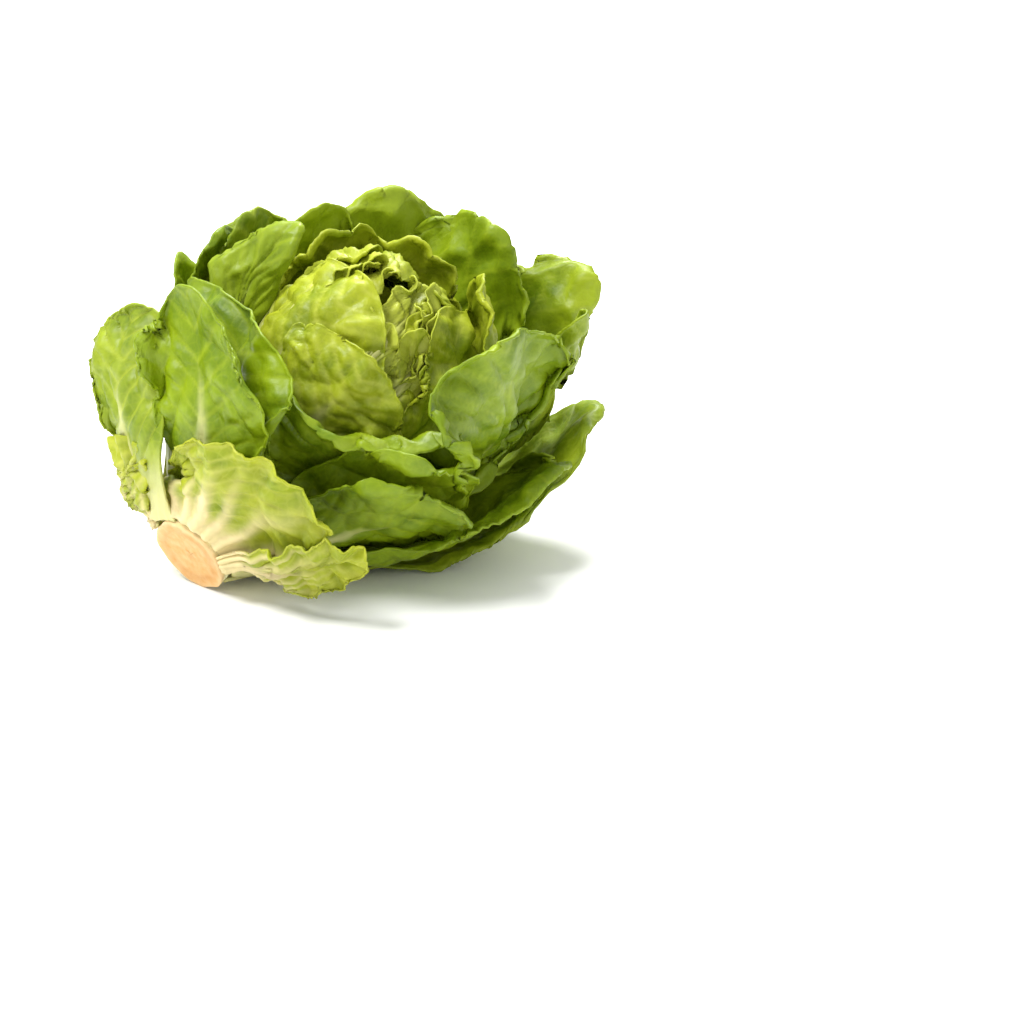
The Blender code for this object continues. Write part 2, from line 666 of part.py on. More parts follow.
def on_origin(solids):
    """The solids moved so that the origin is below the middle of their box, on the surface."""
    points = np.concatenate([solid[0] for solid in solids.values()])
    low, high = points.min(axis=0), points.max(axis=0)
    base = np.array([0.5 * (low[0] + high[0]), 0.5 * (low[1] + high[1]), low[2]])
    return {name: (points - base, faces) for name, (points, faces) in solids.items()}


def build_head():
    for old in list(bpy.data.objects):
        bpy.data.objects.remove(old, do_unlink=True)
    hearts = laid_heart()
    solids = {"stem": stem_solid(), "heart": core_solid()}
    solids.update({leaf.name: scale_solid(points) for leaf, points in zip(HEART, hearts)})
    solids.update({leaf.name: sheet_solid(*grid) for leaf, grid in zip(OUTER, laid_leaves(hearts))})
    solids = on_origin(solids)
    add_object("stem", solids["stem"], CUT_TAN, 0.7)
    heart = add_object("heart", solids["heart"], HEART_GREEN)
    fuse(heart, [add_object(leaf.name, solids[leaf.name], HEART_GREEN) for leaf in HEART])
    keep_main_body(heart)
    for leaf in OUTER:
        add_object(leaf.name, solids[leaf.name], leaf.colour)


build_head()
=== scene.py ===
"""Dresses the head of butterhead lettuce: every leaf gets a finer sheet with puffed blisters, veins,
a ruffled and rolled margin and a leaf material, and the heart, the stem's cut and the light are made.

The leaves are laid round each other here exactly as in the solid model, in millimetres round the same
heart's centre, and then each sheet is refined and moved onto the model's own origin.
"""

import math
from dataclasses import dataclass, replace

import bpy
import numpy as np
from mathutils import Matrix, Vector
from mathutils.bvhtree import BVHTree


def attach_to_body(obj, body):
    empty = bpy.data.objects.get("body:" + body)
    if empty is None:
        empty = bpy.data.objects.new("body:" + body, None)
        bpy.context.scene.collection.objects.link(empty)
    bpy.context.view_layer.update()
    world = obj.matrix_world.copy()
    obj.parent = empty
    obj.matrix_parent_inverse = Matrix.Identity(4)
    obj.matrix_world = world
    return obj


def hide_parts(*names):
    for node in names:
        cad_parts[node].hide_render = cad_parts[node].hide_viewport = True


MM = 0.001

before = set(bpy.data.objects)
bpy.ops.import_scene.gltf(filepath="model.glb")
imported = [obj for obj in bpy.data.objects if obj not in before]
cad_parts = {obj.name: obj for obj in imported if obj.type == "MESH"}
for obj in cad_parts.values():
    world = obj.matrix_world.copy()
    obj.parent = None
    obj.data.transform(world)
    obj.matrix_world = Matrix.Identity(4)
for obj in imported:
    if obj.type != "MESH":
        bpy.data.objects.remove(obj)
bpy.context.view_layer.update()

# Where the head lies while it is laid out, in millimetres: Z is 0 on the surface, X runs right, Y away
HEART_CENTRE = np.array([9.0, 35.0, 93.6])
CUT_CENTRE = np.array([-66.5, -3.0, 16.8])
CUT_NORMAL = np.array([-0.60, -0.66, -0.45])
# How far the open crown faces up from level, and how far it turns to the right, in degrees
CROWN_RISE = 46.0
CROWN_TURN = 16.0

# The stem, with the rings of its cut as shares of the radius and those of its side as millimetres up
# from the rim, and the neck and core that carry the heart's leaves
STEM_RADIUS = 17.5
STEM_TOP_RADIUS = 12.0
STEM_LENGTH = 50.0
STEM_SIDES = 28
CUT_RINGS = (0.02, 0.2, 0.4, 0.58, 0.74, 0.86, 0.94, 0.985)
SIDE_RINGS = (0.4, 1.6, 4.0, 9.0, 16.0, 25.0, 36.0, 50.0)
FINE_STEM_SIDES = 96
CUT_DISH = 1.4
BROWN_RING, BROWN_RING_WIDTH = 0.78, 0.07
CORE_RADIUS = 30.0
CORE_SIDES = 20
CORE_RINGS = 13

# Blades: their thickness, and the rows and columns of the coarse sheets that are laid out
BLADE_THICKNESS = 0.9
RIB_THICKNESS = 2.0
RIB_HALF_WIDTH = 8.0
HEART_THINNER = 0.6
ROWS = 12
COLUMNS = 9
HEART_ROWS = 11
HEART_COLUMNS = 7

# Room between neighbours, and how steeply a leaf may be moved off one
BETWEEN_LEAVES = 0.5
BEHIND_LEAVES = 1.2
ON_STEM = 0.3
MOST_SLOPE = 0.45
STILL_CROSSING = 0.6
BEYOND_ALL = 400.0

# Rows and columns of the fine sheets, and where the random pattern of the first leaf of each kind starts
LEAF_GRID, LEAF_SEED = (89, 65), 10
HEART_GRID, HEART_SEED = (69, 51), 101
CROWN_GRID, CROWN_SEED = (51, 37), 151

# Patterns on a blade: their size along the leaf and across it
LARGE_BLISTER = (23.0, 18.0)
SMALL_BLISTER = (7.0, 6.0)
LONG_BUMP = (34.0, 27.0)
SHORT_BUMP = (13.0, 11.0)
SIDE_VEINS = 8.5
VEIN_LEAN = 0.34
VEIN_WIDTH = 1.3
FOOT_RIBS = 3.0

# How far in from the margin its flatter part, its long waves, and its short waves and pale edge reach; the
# pale edge is partly a painted rim highlight
FLATTER_MARGIN = 7.0
LONG_WAVES_REACH = 14.0
EDGE_REACH = 3.0

# The camera, with the point that it looks at in the layout, in millimetres, and the light: each lamp's
# place, what it is aimed at, and its power. All but that point is in metres
CAMERA_TARGET = np.array([64.7, 40.0, 20.3])
CAMERA_RISE = 20.0
CAMERA_DISTANCE = 1.1
HALF_WIDTH_SEEN = 0.215
FLOOR_HALF = 6.0
WORLD_LIGHT = 0.95
LAMP_SIZE = 0.5
LAMPS = {
    "key": ((-0.6, -0.4, 1.2), (0.0, 0.0, 0.06), 20.0),
    "back": ((0.1, 0.7, 1.2), (0.0, 0.0, 0.08), 26.0),
}


@dataclass
class Leaf:
    """One leaf. attach is how far it roots above the cut's rim. belly and tip are the midrib's
    fullest point and its end, as (tilt, azimuth, radius) for heart_point. width is from midrib to
    margin and cup is how far each half turns towards the heart, at lower azimuth and at higher. tone
    names its material."""

    name: str
    attach: float
    belly: tuple
    tip: tuple
    width: tuple = (40.0, 40.0)
    cup: tuple = (35.0, 35.0)
    tone: str = "fresh"
    # how the midrib departs from an even bow: out at the shoulder, in below the belly
    shoulder: float = 0.0
    dip: float = 0.0
    # the margin: rolled outward along the sides and at the tip, and waved
    roll: tuple = (3.0, 3.0)
    tip_roll: float = 4.0
    ruffle: float = 2.0
    waves: float = 7.0
    # where along its length the blade starts to widen, its half width at the foot, and how round its
    # end is
    start: float = 0.2
    base: float = 12.0
    roundness: float = 0.36
    # how high above the surface the leaf stays, where another one lies under it
    above_floor: float = 0.0
    # the direction that a leaf's back is twisted to, where it doesn't face away from the heart
    back_to: tuple = None
    # the belly and the tip of each side of a leaf that fans out from the stem, as for the midrib
    sides: tuple = None


# The outer leaves, from the heart outward
OUTER = [
    # the nest round the heart
    Leaf("leaf_nest_front", 34, (97, 262, 57), (58, 263, 62), (48, 50), roll=(4, 4), tip_roll=3,
         roundness=0.1, sides=(((98, 232, 57), (59, 208, 62)), ((97, 292, 57), (53, 310, 64)))),
    Leaf("leaf_nest_left", 33, (92, 168, 54), (48, 132, 62), (22, 24), (20, 20), roll=(4, 4), ruffle=3,
         back_to=(0.2, 0.9, -0.3)),
    Leaf("leaf_nest_corner", 34, (95, 214, 57), (53, 198, 63), (44, 46), roll=(4, 3), tip_roll=3,
         roundness=0.1, sides=(((95, 190, 57), (87, 155, 67)), ((97, 240, 57), (51, 237, 65)))),
    Leaf("leaf_nest_right", 32, (92, 322, 58), (34, 329, 67), (52, 52), roll=(6, 5), tip_roll=6,
         roundness=0.12, sides=(((95, 292, 57), (41, 272, 65)), ((92, 350, 60), (72, 16, 83)))),
    Leaf("leaf_back_right", 30, (118, 50, 62), (72, 47, 70), (38, 38), (40, 40)),
    Leaf("leaf_back_mid", 29, (118, 84, 54), (80, 84, 54), (32, 32)),
    Leaf("leaf_back_left", 28, (118, 114, 54), (79, 114, 56), (32, 32)),
    Leaf("leaf_puff_right", 25, (106, 0, 69), (60, 3, 77), (24, 22), (60, 60), "deep", tip_roll=-5,
         back_to=(0.5, -0.8, 0.3)),
    Leaf("leaf_left_high", 26, (115, 138, 70), (76, 134, 74), (30, 30), (35, 35), "deep"),
    # the layer that stands off the nest
    Leaf("leaf_front_low", 24, (101, 258, 67), (75, 304, 71), (37, 38), (36, 40), start=0.1,
         roundness=0.45),
    Leaf("leaf_front_left", 22, (80, 220, 88), (62, 182, 88), roundness=0.2,
         sides=(((92, 210, 96), (76, 183, 92)), ((65, 237, 84), (48, 202, 80)))),
    Leaf("leaf_left_fold", 20, (114, 153, 76), (80, 143, 79), (27, 27), (28, 28), roll=(2, 2), tip_roll=2),
    Leaf("leaf_right_far", 19, (115, 30, 78), (84, 27, 106), (38, 42), (35, 35), "deep"),
    Leaf("leaf_left_curl", 18, (116, 168, 82), (86, 154, 86), (26, 24), (30, 30)),
    Leaf("leaf_front_under", 17, (106, 262, 77), (84, 300, 80), (44, 38), (38, 35), roll=(5, 4), start=0.1,
         roundness=0.45),
    # the outermost leaves, some of which carry the head
    Leaf("leaf_front_base", 4, (94, 228, 98), (70, 226, 94), (50, 62), tone="ribbed", roundness=0.22,
         sides=(((108, 219, 97), (98, 212, 93)), ((97, 250, 100), (70, 267, 92)))),
    Leaf("leaf_right_low", 14, (116, 314, 84), (85, 328, 87), (44, 44), (40, 40), above_floor=6.4),
    Leaf("leaf_left_puff", 9, (97, 196, 107), (90, 173, 98), (24, 34), (55, 50), "deep", tip_roll=-4,
         back_to=(-0.6, -0.8, 0.0)),
    Leaf("leaf_right_side", 10, (124, 338, 96), (104, 5, 100), (36, 40), (40, 40), "deep",
         above_floor=3.2),
    Leaf("leaf_behind_right", 8, (128, 82, 84), (106, 82, 88), (40, 40), (40, 40), "deep"),
    Leaf("leaf_behind_left", 7, (126, 125, 86), (102, 124, 90), (46, 46), (40, 40), "deep"),
    Leaf("leaf_behind_low", 8, (154, 318, 107), (134, 40, 104), (36, 40), (25, 25), "deep", start=0.3),
    Leaf("leaf_left_low", 5, (112, 211, 108), (102, 201, 108), (32, 34), tone="ribbed", roundness=0.2,
         sides=(((108, 221, 98), (88, 208, 98)), ((115, 203, 118), (110, 196, 118)))),
    Leaf("leaf_under", 5, (97, 252, 104), (85, 270, 99), (42, 40), tone="ribbed", ruffle=3,
         roundness=0.22, sides=(((92, 247, 103), (74, 266, 95)), ((104, 253, 106), (94, 269, 103)))),
]

# The heart's leaves, from the middle outward
HEART = [
    Leaf("crumple_front", 60, (60, 330, 35), (10, 330, 36), (20, 20), (40, 40)),
    Leaf("crumple_left", 60, (60, 190, 35), (6, 200, 35), (20, 20), (40, 40)),
    Leaf("crumple_back", 60, (70, 80, 34), (14, 80, 36), (18, 18), (40, 40)),
    Leaf("crumple_right", 60, (70, 25, 36), (22, 25, 38), (18, 18), (40, 40)),
    Leaf("crumple_far", 60, (70, 120, 37), (24, 118, 39), (18, 18), (40, 40)),
    Leaf("wrap_right", 58, (72, 330, 41), (30, 12, 41), (30, 30), (45, 45)),
    Leaf("wrap_left", 57, (68, 204, 43), (8, 150, 43), (34, 36), (60, 60), roundness=0.2),
    Leaf("wrap_front", 56, (80, 238, 48), (36, 266, 46), (38, 34), (50, 50)),
    Leaf("wrap_edge", 55, (85, 8, 49), (44, 28, 51), (30, 30), (45, 45)),
    Leaf("wrap_back_right", 54, (100, 66, 45), (62, 68, 45), (36, 36), (40, 40)),
    Leaf("wrap_back_left", 53, (100, 112, 45), (64, 112, 45), (30, 30), (40, 40)),
]
for inner_leaf in HEART:
    inner_leaf.ruffle, inner_leaf.tip_roll = 1.0, 2.0


# Vectors and curves

def unit(v):
    return v / np.linalg.norm(v, axis=-1, keepdims=True)


def smoothstep(low, high, x):
    t = np.clip((x - low) / (high - low), 0.0, 1.0)
    return t * t * (3.0 - 2.0 * t)


def natural_spline(knots, values, at):
    """Values of the natural cubic spline through (knots, values), at the given places."""
    knots, values, at = np.asarray(knots, float), np.asarray(values, float), np.asarray(at, float)
    n, h = len(knots), np.diff(knots)
    system, right = np.eye(n), np.zeros_like(values)
    slopes = np.diff(values, axis=0) / (h if values.ndim == 1 else h[:, None])
    for k in range(1, n - 1):
        system[k, k - 1 : k + 2] = h[k - 1], 2 * (h[k - 1] + h[k]), h[k]
        right[k] = 6 * (slopes[k] - slopes[k - 1])
    bend = np.linalg.solve(system, right)
    cell = np.clip(np.searchsorted(knots, at) - 1, 0, n - 2)
    before, after, step = at - knots[cell], knots[cell + 1] - at, h[cell]
    if values.ndim > 1:
        before, after, step = before[..., None], after[..., None], step[..., None]
    cubic = (bend[cell] * after**3 + bend[cell + 1] * before**3) / (6 * step)
    low = (values[cell] / step - bend[cell] * step / 6) * after
    high = (values[cell + 1] / step - bend[cell + 1] * step / 6) * before
    return cubic + low + high


def between(values, place):
    """Values of an evenly spaced list at places from 0 to 1 along it, on straight lines."""
    x = place * (len(values) - 1)
    low = np.clip(x.astype(int), 0, len(values) - 2)
    part = (x - low)[..., None]
    return values[low] * (1 - part) + values[low + 1] * part


def crown_axes():
    """The direction that the crown faces, and two directions across it: to the right, and to the back."""
    rise, turn = math.radians(CROWN_RISE), math.radians(CROWN_TURN)
    face = np.array([math.sin(turn) * math.cos(rise), -math.cos(turn) * math.cos(rise), math.sin(rise)])
    right = unit(np.array([1.0, 0.0, 0.0]) - face[0] * face)
    return face, right, np.cross(face, right)


FACE, RIGHT, BACK = crown_axes()
CUT = unit(CUT_NORMAL)
STEM_AXIS = unit(HEART_CENTRE - CUT_CENTRE)
STEM_SIDE = unit(np.cross(STEM_AXIS, [0.0, 0.0, 1.0]))
STEM_UP = np.cross(STEM_SIDE, STEM_AXIS)


def heart_point(tilt, azimuth, radius):
    """The point at this angle from the crown's axis, turned by azimuth from the right towards the back."""
    t, a = math.radians(tilt), math.radians(azimuth)
    across = math.cos(a) * RIGHT + math.sin(a) * BACK
    return HEART_CENTRE + radius * (math.sin(t) * across + math.cos(t) * FACE)


def stem_radius(along):
    """The stem's radius this far up its axis."""
    return STEM_RADIUS + (STEM_TOP_RADIUS - STEM_RADIUS) * np.clip(along / STEM_LENGTH, 0.0, 1.0)


def rim_slant(out, along):
    """How far up the stem the slanting cut reaches at this offset from the axis, less higher up."""
    return -(out @ CUT) / (STEM_AXIS @ CUT) * (1 - along / STEM_LENGTH)


# One leaf's sheet

def root_of(leaf):
    """Where the leaf roots on the stem's side, and the direction out of the stem there."""
    foot = CUT_CENTRE + leaf.attach * STEM_AXIS
    aim = heart_point(*leaf.belly) - foot
    out = unit(aim - (aim @ STEM_AXIS) * STEM_AXIS)
    offset = stem_radius(leaf.attach) * out
    return foot + offset + rim_slant(offset, leaf.attach) * STEM_AXIS, out


def midrib(leaf, count=120):
    """Points along the midrib, evenly spaced by length, from the stem to the tip."""
    root, out = root_of(leaf)
    leave = root + 13.0 * unit(out + 0.9 * STEM_AXIS)
    belly, tip = heart_point(*leaf.belly), heart_point(*leaf.tip)
    to_leave, to_belly, to_tip = (unit(p - HEART_CENTRE) for p in (leave, belly, tip))
    leave_reach = np.linalg.norm(leave - HEART_CENTRE)
    below = 0.3 * leave_reach + 0.7 * leaf.belly[2] - leaf.dip
    above = 0.5 * (leaf.belly[2] + leaf.tip[2]) + leaf.shoulder
    knots = np.array([
        root,
        leave,
        HEART_CENTRE + below * unit(to_leave + to_belly),
        belly,
        HEART_CENTRE + above * unit(to_belly + 1.1 * to_tip),
        tip,
    ])
    at = np.concatenate([[0], np.cumsum(np.linalg.norm(np.diff(knots, axis=0), axis=1) ** 0.8)])
    dense = natural_spline(at, knots, np.linspace(0, at[-1], 400))
    along = np.concatenate([[0], np.cumsum(np.linalg.norm(np.diff(dense, axis=0), axis=1))])
    even = np.linspace(0, along[-1], count)
    return np.stack([np.interp(even, along, dense[:, k]) for k in range(3)], axis=1)


def evened(values, reach=22):
    """The values, each averaged with its neighbours on both sides."""
    padded = np.pad(values, ((reach + 1, reach), (0, 0)), mode="edge")
    total = np.cumsum(padded, axis=0)
    return (total[2 * reach + 1 :] - total[: -2 * reach - 1]) / (2 * reach + 1)


def leaf_frame(leaf, line):
    """For each point of the midrib: the direction out of the blade's back, and the one across it, which
    turns slowly where the midrib bends, so the blade doesn't fold there."""
    u = np.linspace(0, 1, len(line))[:, None]
    tangent = unit(np.gradient(line, axis=0))
    near_stem = 1.0 - smoothstep(0.1, 0.55, u)
    away = unit(unit(line - HEART_CENTRE) + 1.6 * near_stem * root_of(leaf)[1])
    back = unit(away - (away * tangent).sum(1)[:, None] * tangent)
    if leaf.back_to:
        twisted = np.array(leaf.back_to) - (tangent @ np.array(leaf.back_to))[:, None] * tangent
        share = smoothstep(0.3, 0.6, u)
        back = unit((1 - share) * back + share * unit(twisted))
    across = np.cross(tangent, back)
    on_blade = smoothstep(0.05, 0.3, u)
    return back, unit((1 - on_blade) * across + on_blade * evened(across))


def half_width(leaf, u, v):
    """Half the blade's width at u, from 0 at the foot to 1 at the tip, on the side that v is on."""
    along = np.interp(u, [0, leaf.start, 1], [0, 0.2, 1])
    share = natural_spline([0, 0.2, 0.45, 0.7, 0.9, 1.0], [0, 0.12, 0.62, 1.0, 0.95, 0.78], along)
    return leaf.base * (1 - smoothstep(0.0, 0.5, along)) + np.where(v < 0, *leaf.width) * share


def leaf_grid(leaf, rows, columns):
    """The leaf's middle surface as a grid of points, with each point's place along the leaf, from 0 to
    1, and across it, from -1 to 1."""
    line = midrib(leaf)
    length = np.linalg.norm(np.diff(line, axis=0), axis=1).sum()
    u, v = np.meshgrid(np.linspace(0, 1, rows), np.linspace(-1, 1, columns), indexing="ij")
    v = np.sign(v) * np.abs(v) ** 0.85
    place = u * (1 - leaf.roundness * u * np.abs(v) ** 2.6)
    width, reach = half_width(leaf, place, v), np.abs(v)
    if leaf.sides:
        points, out = fanned(leaf, line, place, v)
    else:
        points, out = bowed(leaf, line, place, v, width)

    # the margin's roll and waves
    roll = np.where(v < 0, *leaf.roll) * smoothstep(0.6, 1.0, reach) * smoothstep(0.3, 0.7, place)
    roll = roll + leaf.tip_roll * smoothstep(0.8, 1.0, u) * (1 - 0.7 * reach**3)
    angle = leaf.waves * np.arctan2(v * width, (place - 0.45) * length)
    margin = np.maximum(reach**3 * smoothstep(0.25, 0.6, place), smoothstep(0.6, 1.0, u))
    wave = leaf.ruffle * margin * (np.sin(angle) + 0.5 * np.sin(2.3 * angle))
    return points + (roll + wave)[..., None] * out, place, v


def bowed(leaf, line, place, v, width):
    """A blade bowed across its midrib: round the stem's side at the foot, and round the heart above."""
    back, across = leaf_frame(leaf, line)
    reach = np.abs(v)
    on_blade = smoothstep(0.1, 0.5, place)
    cup = np.radians(np.where(v < 0, *leaf.cup))
    bow = leaf.base / STEM_RADIUS * (1 - on_blade) + cup * on_blade
    sideways = np.sign(v) * width * np.sin(bow * reach) / bow
    inward = width * (1 - np.cos(bow * reach)) / bow
    side, out = between(across, place), between(back, place)
    return between(line, place) + sideways[..., None] * side - inward[..., None] * out, out


def fanned(leaf, line, place, v):
    """A blade that fans out from the stem, spread across the curves of its two sides and its midrib."""
    low, high = (midrib(replace(leaf, belly=belly, tip=tip)) for belly, tip in leaf.sides)
    shares = (0.5 * v * (v - 1), 1 - v * v, 0.5 * v * (v + 1))
    curves = (low, line, high)
    points = sum(share[..., None] * between(curve, place) for share, curve in zip(shares, curves))
    return points, grid_normals(points)


def blade_thickness(leaf, u, v):
    """The blade's thickness: a thin leaf with a rib along its middle that fades towards the tip."""
    off_rib = v * half_width(leaf, u, v) / RIB_HALF_WIDTH
    return BLADE_THICKNESS + RIB_THICKNESS * (1 - smoothstep(0.0, 0.85, u)) * np.exp(-off_rib**2)


# Grids and solids

def grid_normals(points):
    return unit(np.cross(np.gradient(points, axis=1), np.gradient(points, axis=0)))


def grid_triangles(rows, columns):
    """The grid's triangles, with the cells' diagonals turned from one to the next."""
    index = np.arange(rows * columns).reshape(rows, columns).tolist()
    faces = []
    for i in range(rows - 1):
        for j in range(columns - 1):
            a, b, c, d = index[i][j], index[i][j + 1], index[i + 1][j + 1], index[i + 1][j]
            faces += [(a, b, c), (a, c, d)] if (i + j) % 2 else [(a, b, d), (b, c, d)]
    return faces


def solid_between(outer, inner):
    """A closed solid between two grids, split into triangles alike on both."""
    rows, columns = outer.shape[:2]
    index = np.arange(rows * columns).reshape(rows, columns)
    rim = [int(k) for k in (*index[0, :], *index[1:, -1], *index[-1, -2::-1], *index[-2:0:-1, 0])]
    under = rows * columns
    faces = []
    for a, b, c in grid_triangles(rows, columns):
        faces += [(a, b, c), (c + under, b + under, a + under)]
    for a, b in zip(rim, rim[1:] + rim[:1]):
        faces += [(b, a, a + under), (b, a + under, b + under)]
    return np.concatenate([outer.reshape(-1, 3), inner.reshape(-1, 3)]), faces


def sheet_solid(points, thick):
    """The sheet with its own thickness, half to each side of the grid."""
    half = 0.5 * thick[..., None] * grid_normals(points)
    return solid_between(points + half, points - half)


def heart_leaf_solid(points):
    """A leaf of the heart: thin at its margin, and filled in towards the core behind it."""
    rows, columns = points.shape[:2]
    i, j = np.indices((rows, columns))
    edge = np.minimum(np.minimum(j, columns - 1 - j), rows - 1 - i)
    depth = np.interp(edge, [0, 1, 2, 3], [BLADE_THICKNESS, 1.6, 4.0, 7.0])[..., None]
    inward = np.where((edge < 2)[..., None], grid_normals(points), unit(points - HEART_CENTRE))
    return solid_between(points, points - inward * depth)


def lathe_solid(rings, end):
    """A turned solid: the middle of its first end, its rings in order, and the middle of its last end."""
    count, sides = len(rings), len(rings[0])
    points = np.concatenate([[rings[0].mean(axis=0)], *rings, [end]])
    faces = []
    for k in range(sides):
        right = (k + 1) % sides
        faces.append((0, 1 + k, 1 + right))
        for r in range(count - 1):
            a, b = 1 + r * sides + k, 1 + r * sides + right
            faces += [(a, a + sides, b), (b, a + sides, b + sides)]
        last = 1 + (count - 1) * sides
        faces.append((1 + count * sides, last + right, last + k))
    return points, faces


def ring(radius, sides):
    """Offsets from the stem's axis to points round it."""
    turn = np.linspace(0, 2 * math.pi, sides, endpoint=False)[:, None]
    return radius * (np.cos(turn) * STEM_SIDE + np.sin(turn) * STEM_UP)


def stem_solid():
    """The stem: narrower upward, its lower end cut aslant with a worn rim."""
    rings = []
    for share, worn in ((0.0, 0.6), (0.03, 0.0), (0.35, 0.0), (0.7, 0.0), (1.0, 0.0)):
        along = share * STEM_LENGTH
        offset = ring(stem_radius(along) - worn, STEM_SIDES)
        rings.append(CUT_CENTRE + offset + (along + rim_slant(offset, along))[:, None] * STEM_AXIS)
    return lathe_solid(rings, CUT_CENTRE + STEM_LENGTH * STEM_AXIS)


def core_solid():
    """The heart's core: a ball, drawn out to a neck that meets the stem."""
    middle = np.linalg.norm(HEART_CENTRE - CUT_CENTRE)
    low, high = STEM_LENGTH + ON_STEM, middle + CORE_RADIUS
    rings = []
    for t in np.linspace(0, 1, CORE_RINGS + 1)[:-1]:
        along = low + t * (high - low)
        ball = math.sqrt(max(CORE_RADIUS**2 - (along - middle) ** 2, 0.0))
        neck = STEM_TOP_RADIUS + 10.0 * t if along < middle else 0.0
        rings.append(CUT_CENTRE + along * STEM_AXIS + ring(max(ball, neck), CORE_SIDES))
    return lathe_solid(rings, CUT_CENTRE + high * STEM_AXIS)


# Laying the leaves round each other

def search_tree(solids):
    """One search tree over the given (points, faces) solids."""
    points, faces, count = [], [], 0
    for solid, triangles in solids:
        points += [Vector(p) for p in solid]
        faces += [tuple(k + count for k in t) for t in triangles]
        count += len(solid)
    return BVHTree.FromPolygons(points, faces)


def finer(grid, times=3):
    """The grid with more rows and columns between its own, on straight lines."""
    for axis in (0, 1):
        size = grid.shape[axis]
        at = np.linspace(0, size - 1, (size - 1) * times + 1)
        low = np.minimum(at.astype(int), size - 2)
        part = (at - low).reshape([-1 if k == axis else 1 for k in range(grid.ndim)])
        grid = np.take(grid, low, axis) * (1 - part) + np.take(grid, low + 1, axis) * part
    return grid


def largest_near(fine, times=3):
    """For each point of the coarse grid, the largest value of the finer grid in the cells round it."""
    rows, columns = (fine.shape[0] - 1) // times + 1, (fine.shape[1] - 1) // times + 1
    padded = np.pad(fine, times, mode="edge")
    best = np.full((rows, columns), -np.inf)
    for i in range(2 * times + 1):
        for j in range(2 * times + 1):
            there = padded[i : i + rows * times : times, j : j + columns * times : times]
            best = np.maximum(best, there[:rows, :columns])
    return best


def spread(need, points):
    """A move that is at least as large as the need everywhere and falls off gently, so nothing folds."""
    move = need
    along = MOST_SLOPE * np.linalg.norm(np.diff(points, axis=0), axis=-1)
    across = MOST_SLOPE * np.linalg.norm(np.diff(points, axis=1), axis=-1)
    for _ in range(len(points)):
        down = np.pad(move[:-1] - along, ((1, 0), (0, 0)))
        up = np.pad(move[1:] - along, ((0, 1), (0, 0)))
        right = np.pad(move[:, :-1] - across, ((0, 0), (1, 0)))
        left = np.pad(move[:, 1:] - across, ((0, 0), (0, 1)))
        move = np.maximum.reduce([move, down, up, right, left])
    return move


def moved_out(points, move):
    """The points moved away from the heart's centre."""
    return points + move[..., None] * unit(points - HEART_CENTRE)


def rays_to(points):
    """Distance and direction from the heart's centre for points all over the grid."""
    away = finer(points).reshape(-1, 3) - HEART_CENTRE
    reach = np.linalg.norm(away, axis=1)
    return [(r, Vector(a)) for r, a in zip(reach, away / reach[:, None])]


def outside(laid, thick, tree, inside, rounds=6):
    """The grid moved away from the heart's centre until it clears what the tree holds, and until the
    points inside it, given by their rays, are all on its inner side."""
    rows, columns = thick.shape
    centre = Vector(HEART_CENTRE)
    points, move = laid, np.zeros(thick.shape)
    for _ in range(rounds):
        fine = finer(points)
        reach = np.linalg.norm(fine - HEART_CENTRE, axis=-1)
        away = unit(fine - HEART_CENTRE)
        lean = np.clip(np.abs((grid_normals(fine) * away).sum(-1)), 0.35, 1.0)
        clear = BETWEEN_LEAVES + 0.5 * finer(thick) / lean
        need = np.zeros(reach.shape)
        for i, j in np.ndindex(reach.shape):
            ray = Vector(away[i, j])
            hit = tree.ray_cast(centre + ray * BEYOND_ALL, -ray)
            if hit[0] is not None:
                need[i, j] = BEYOND_ALL - hit[3] + clear[i, j] - reach[i, j]
        need = np.maximum(largest_near(need), 0.0)
        sheet = search_tree([(points.reshape(-1, 3), grid_triangles(rows, columns))])
        for distance, ray in inside:
            hit = sheet.ray_cast(centre, ray)
            short = 0.0 if hit[0] is None else distance + BETWEEN_LEAVES + BEHIND_LEAVES - hit[3]
            if short > 0:
                i, j = divmod(hit[2] // 2, columns - 1)
                np.maximum(need[i : i + 2, j : j + 2], short, out=need[i : i + 2, j : j + 2])
        if need.max() < 0.05:
            break
        move = spread(move + need, laid)
        points = moved_out(laid, move)
    return points


def off_stem(points, thick, leaf):
    """The grid moved off the stem's side, and kept behind the cut near it."""
    along = (points - CUT_CENTRE) @ STEM_AXIS
    foot = CUT_CENTRE + along[..., None] * STEM_AXIS
    distance = np.linalg.norm(points - foot, axis=-1)
    need = stem_radius(along) + ON_STEM + 0.5 * thick + (0.5 if leaf.sides else 0.0)
    low = (distance < need) & (along < STEM_LENGTH + 2)
    points = np.where(low[..., None], foot + unit(points - foot) * need[..., None], points)
    past = np.maximum((points - CUT_CENTRE) @ CUT + 1.5, 0.0)
    near = 1 - smoothstep(STEM_RADIUS + 4, STEM_RADIUS + 16, distance)
    return points - (past * near)[..., None] * CUT


def off_floor(points, thick, above):
    """The grid kept above the surface, flattened where the head's weight presses it down."""
    level, soft = 0.5 * thick + above, 3.0
    height = points[..., 2] - level
    pressed = np.where(height > soft, height, soft * np.exp(np.minimum(height / soft - 1, 0)))
    return np.dstack([points[..., :2], pressed + level])


def laid_heart():
    """The heart's leaves as grids that clear the core and each other."""
    solids, grids, inside = [core_solid()], [], []
    for leaf in HEART:
        points, u, v = leaf_grid(leaf, HEART_ROWS, HEART_COLUMNS)
        thick = HEART_THINNER * blade_thickness(leaf, u, v)
        points = outside(points, thick, search_tree(solids), inside, rounds=3)
        solids.append(sheet_solid(points, thick))
        inside += rays_to(points)
        grids.append(points)
    return grids


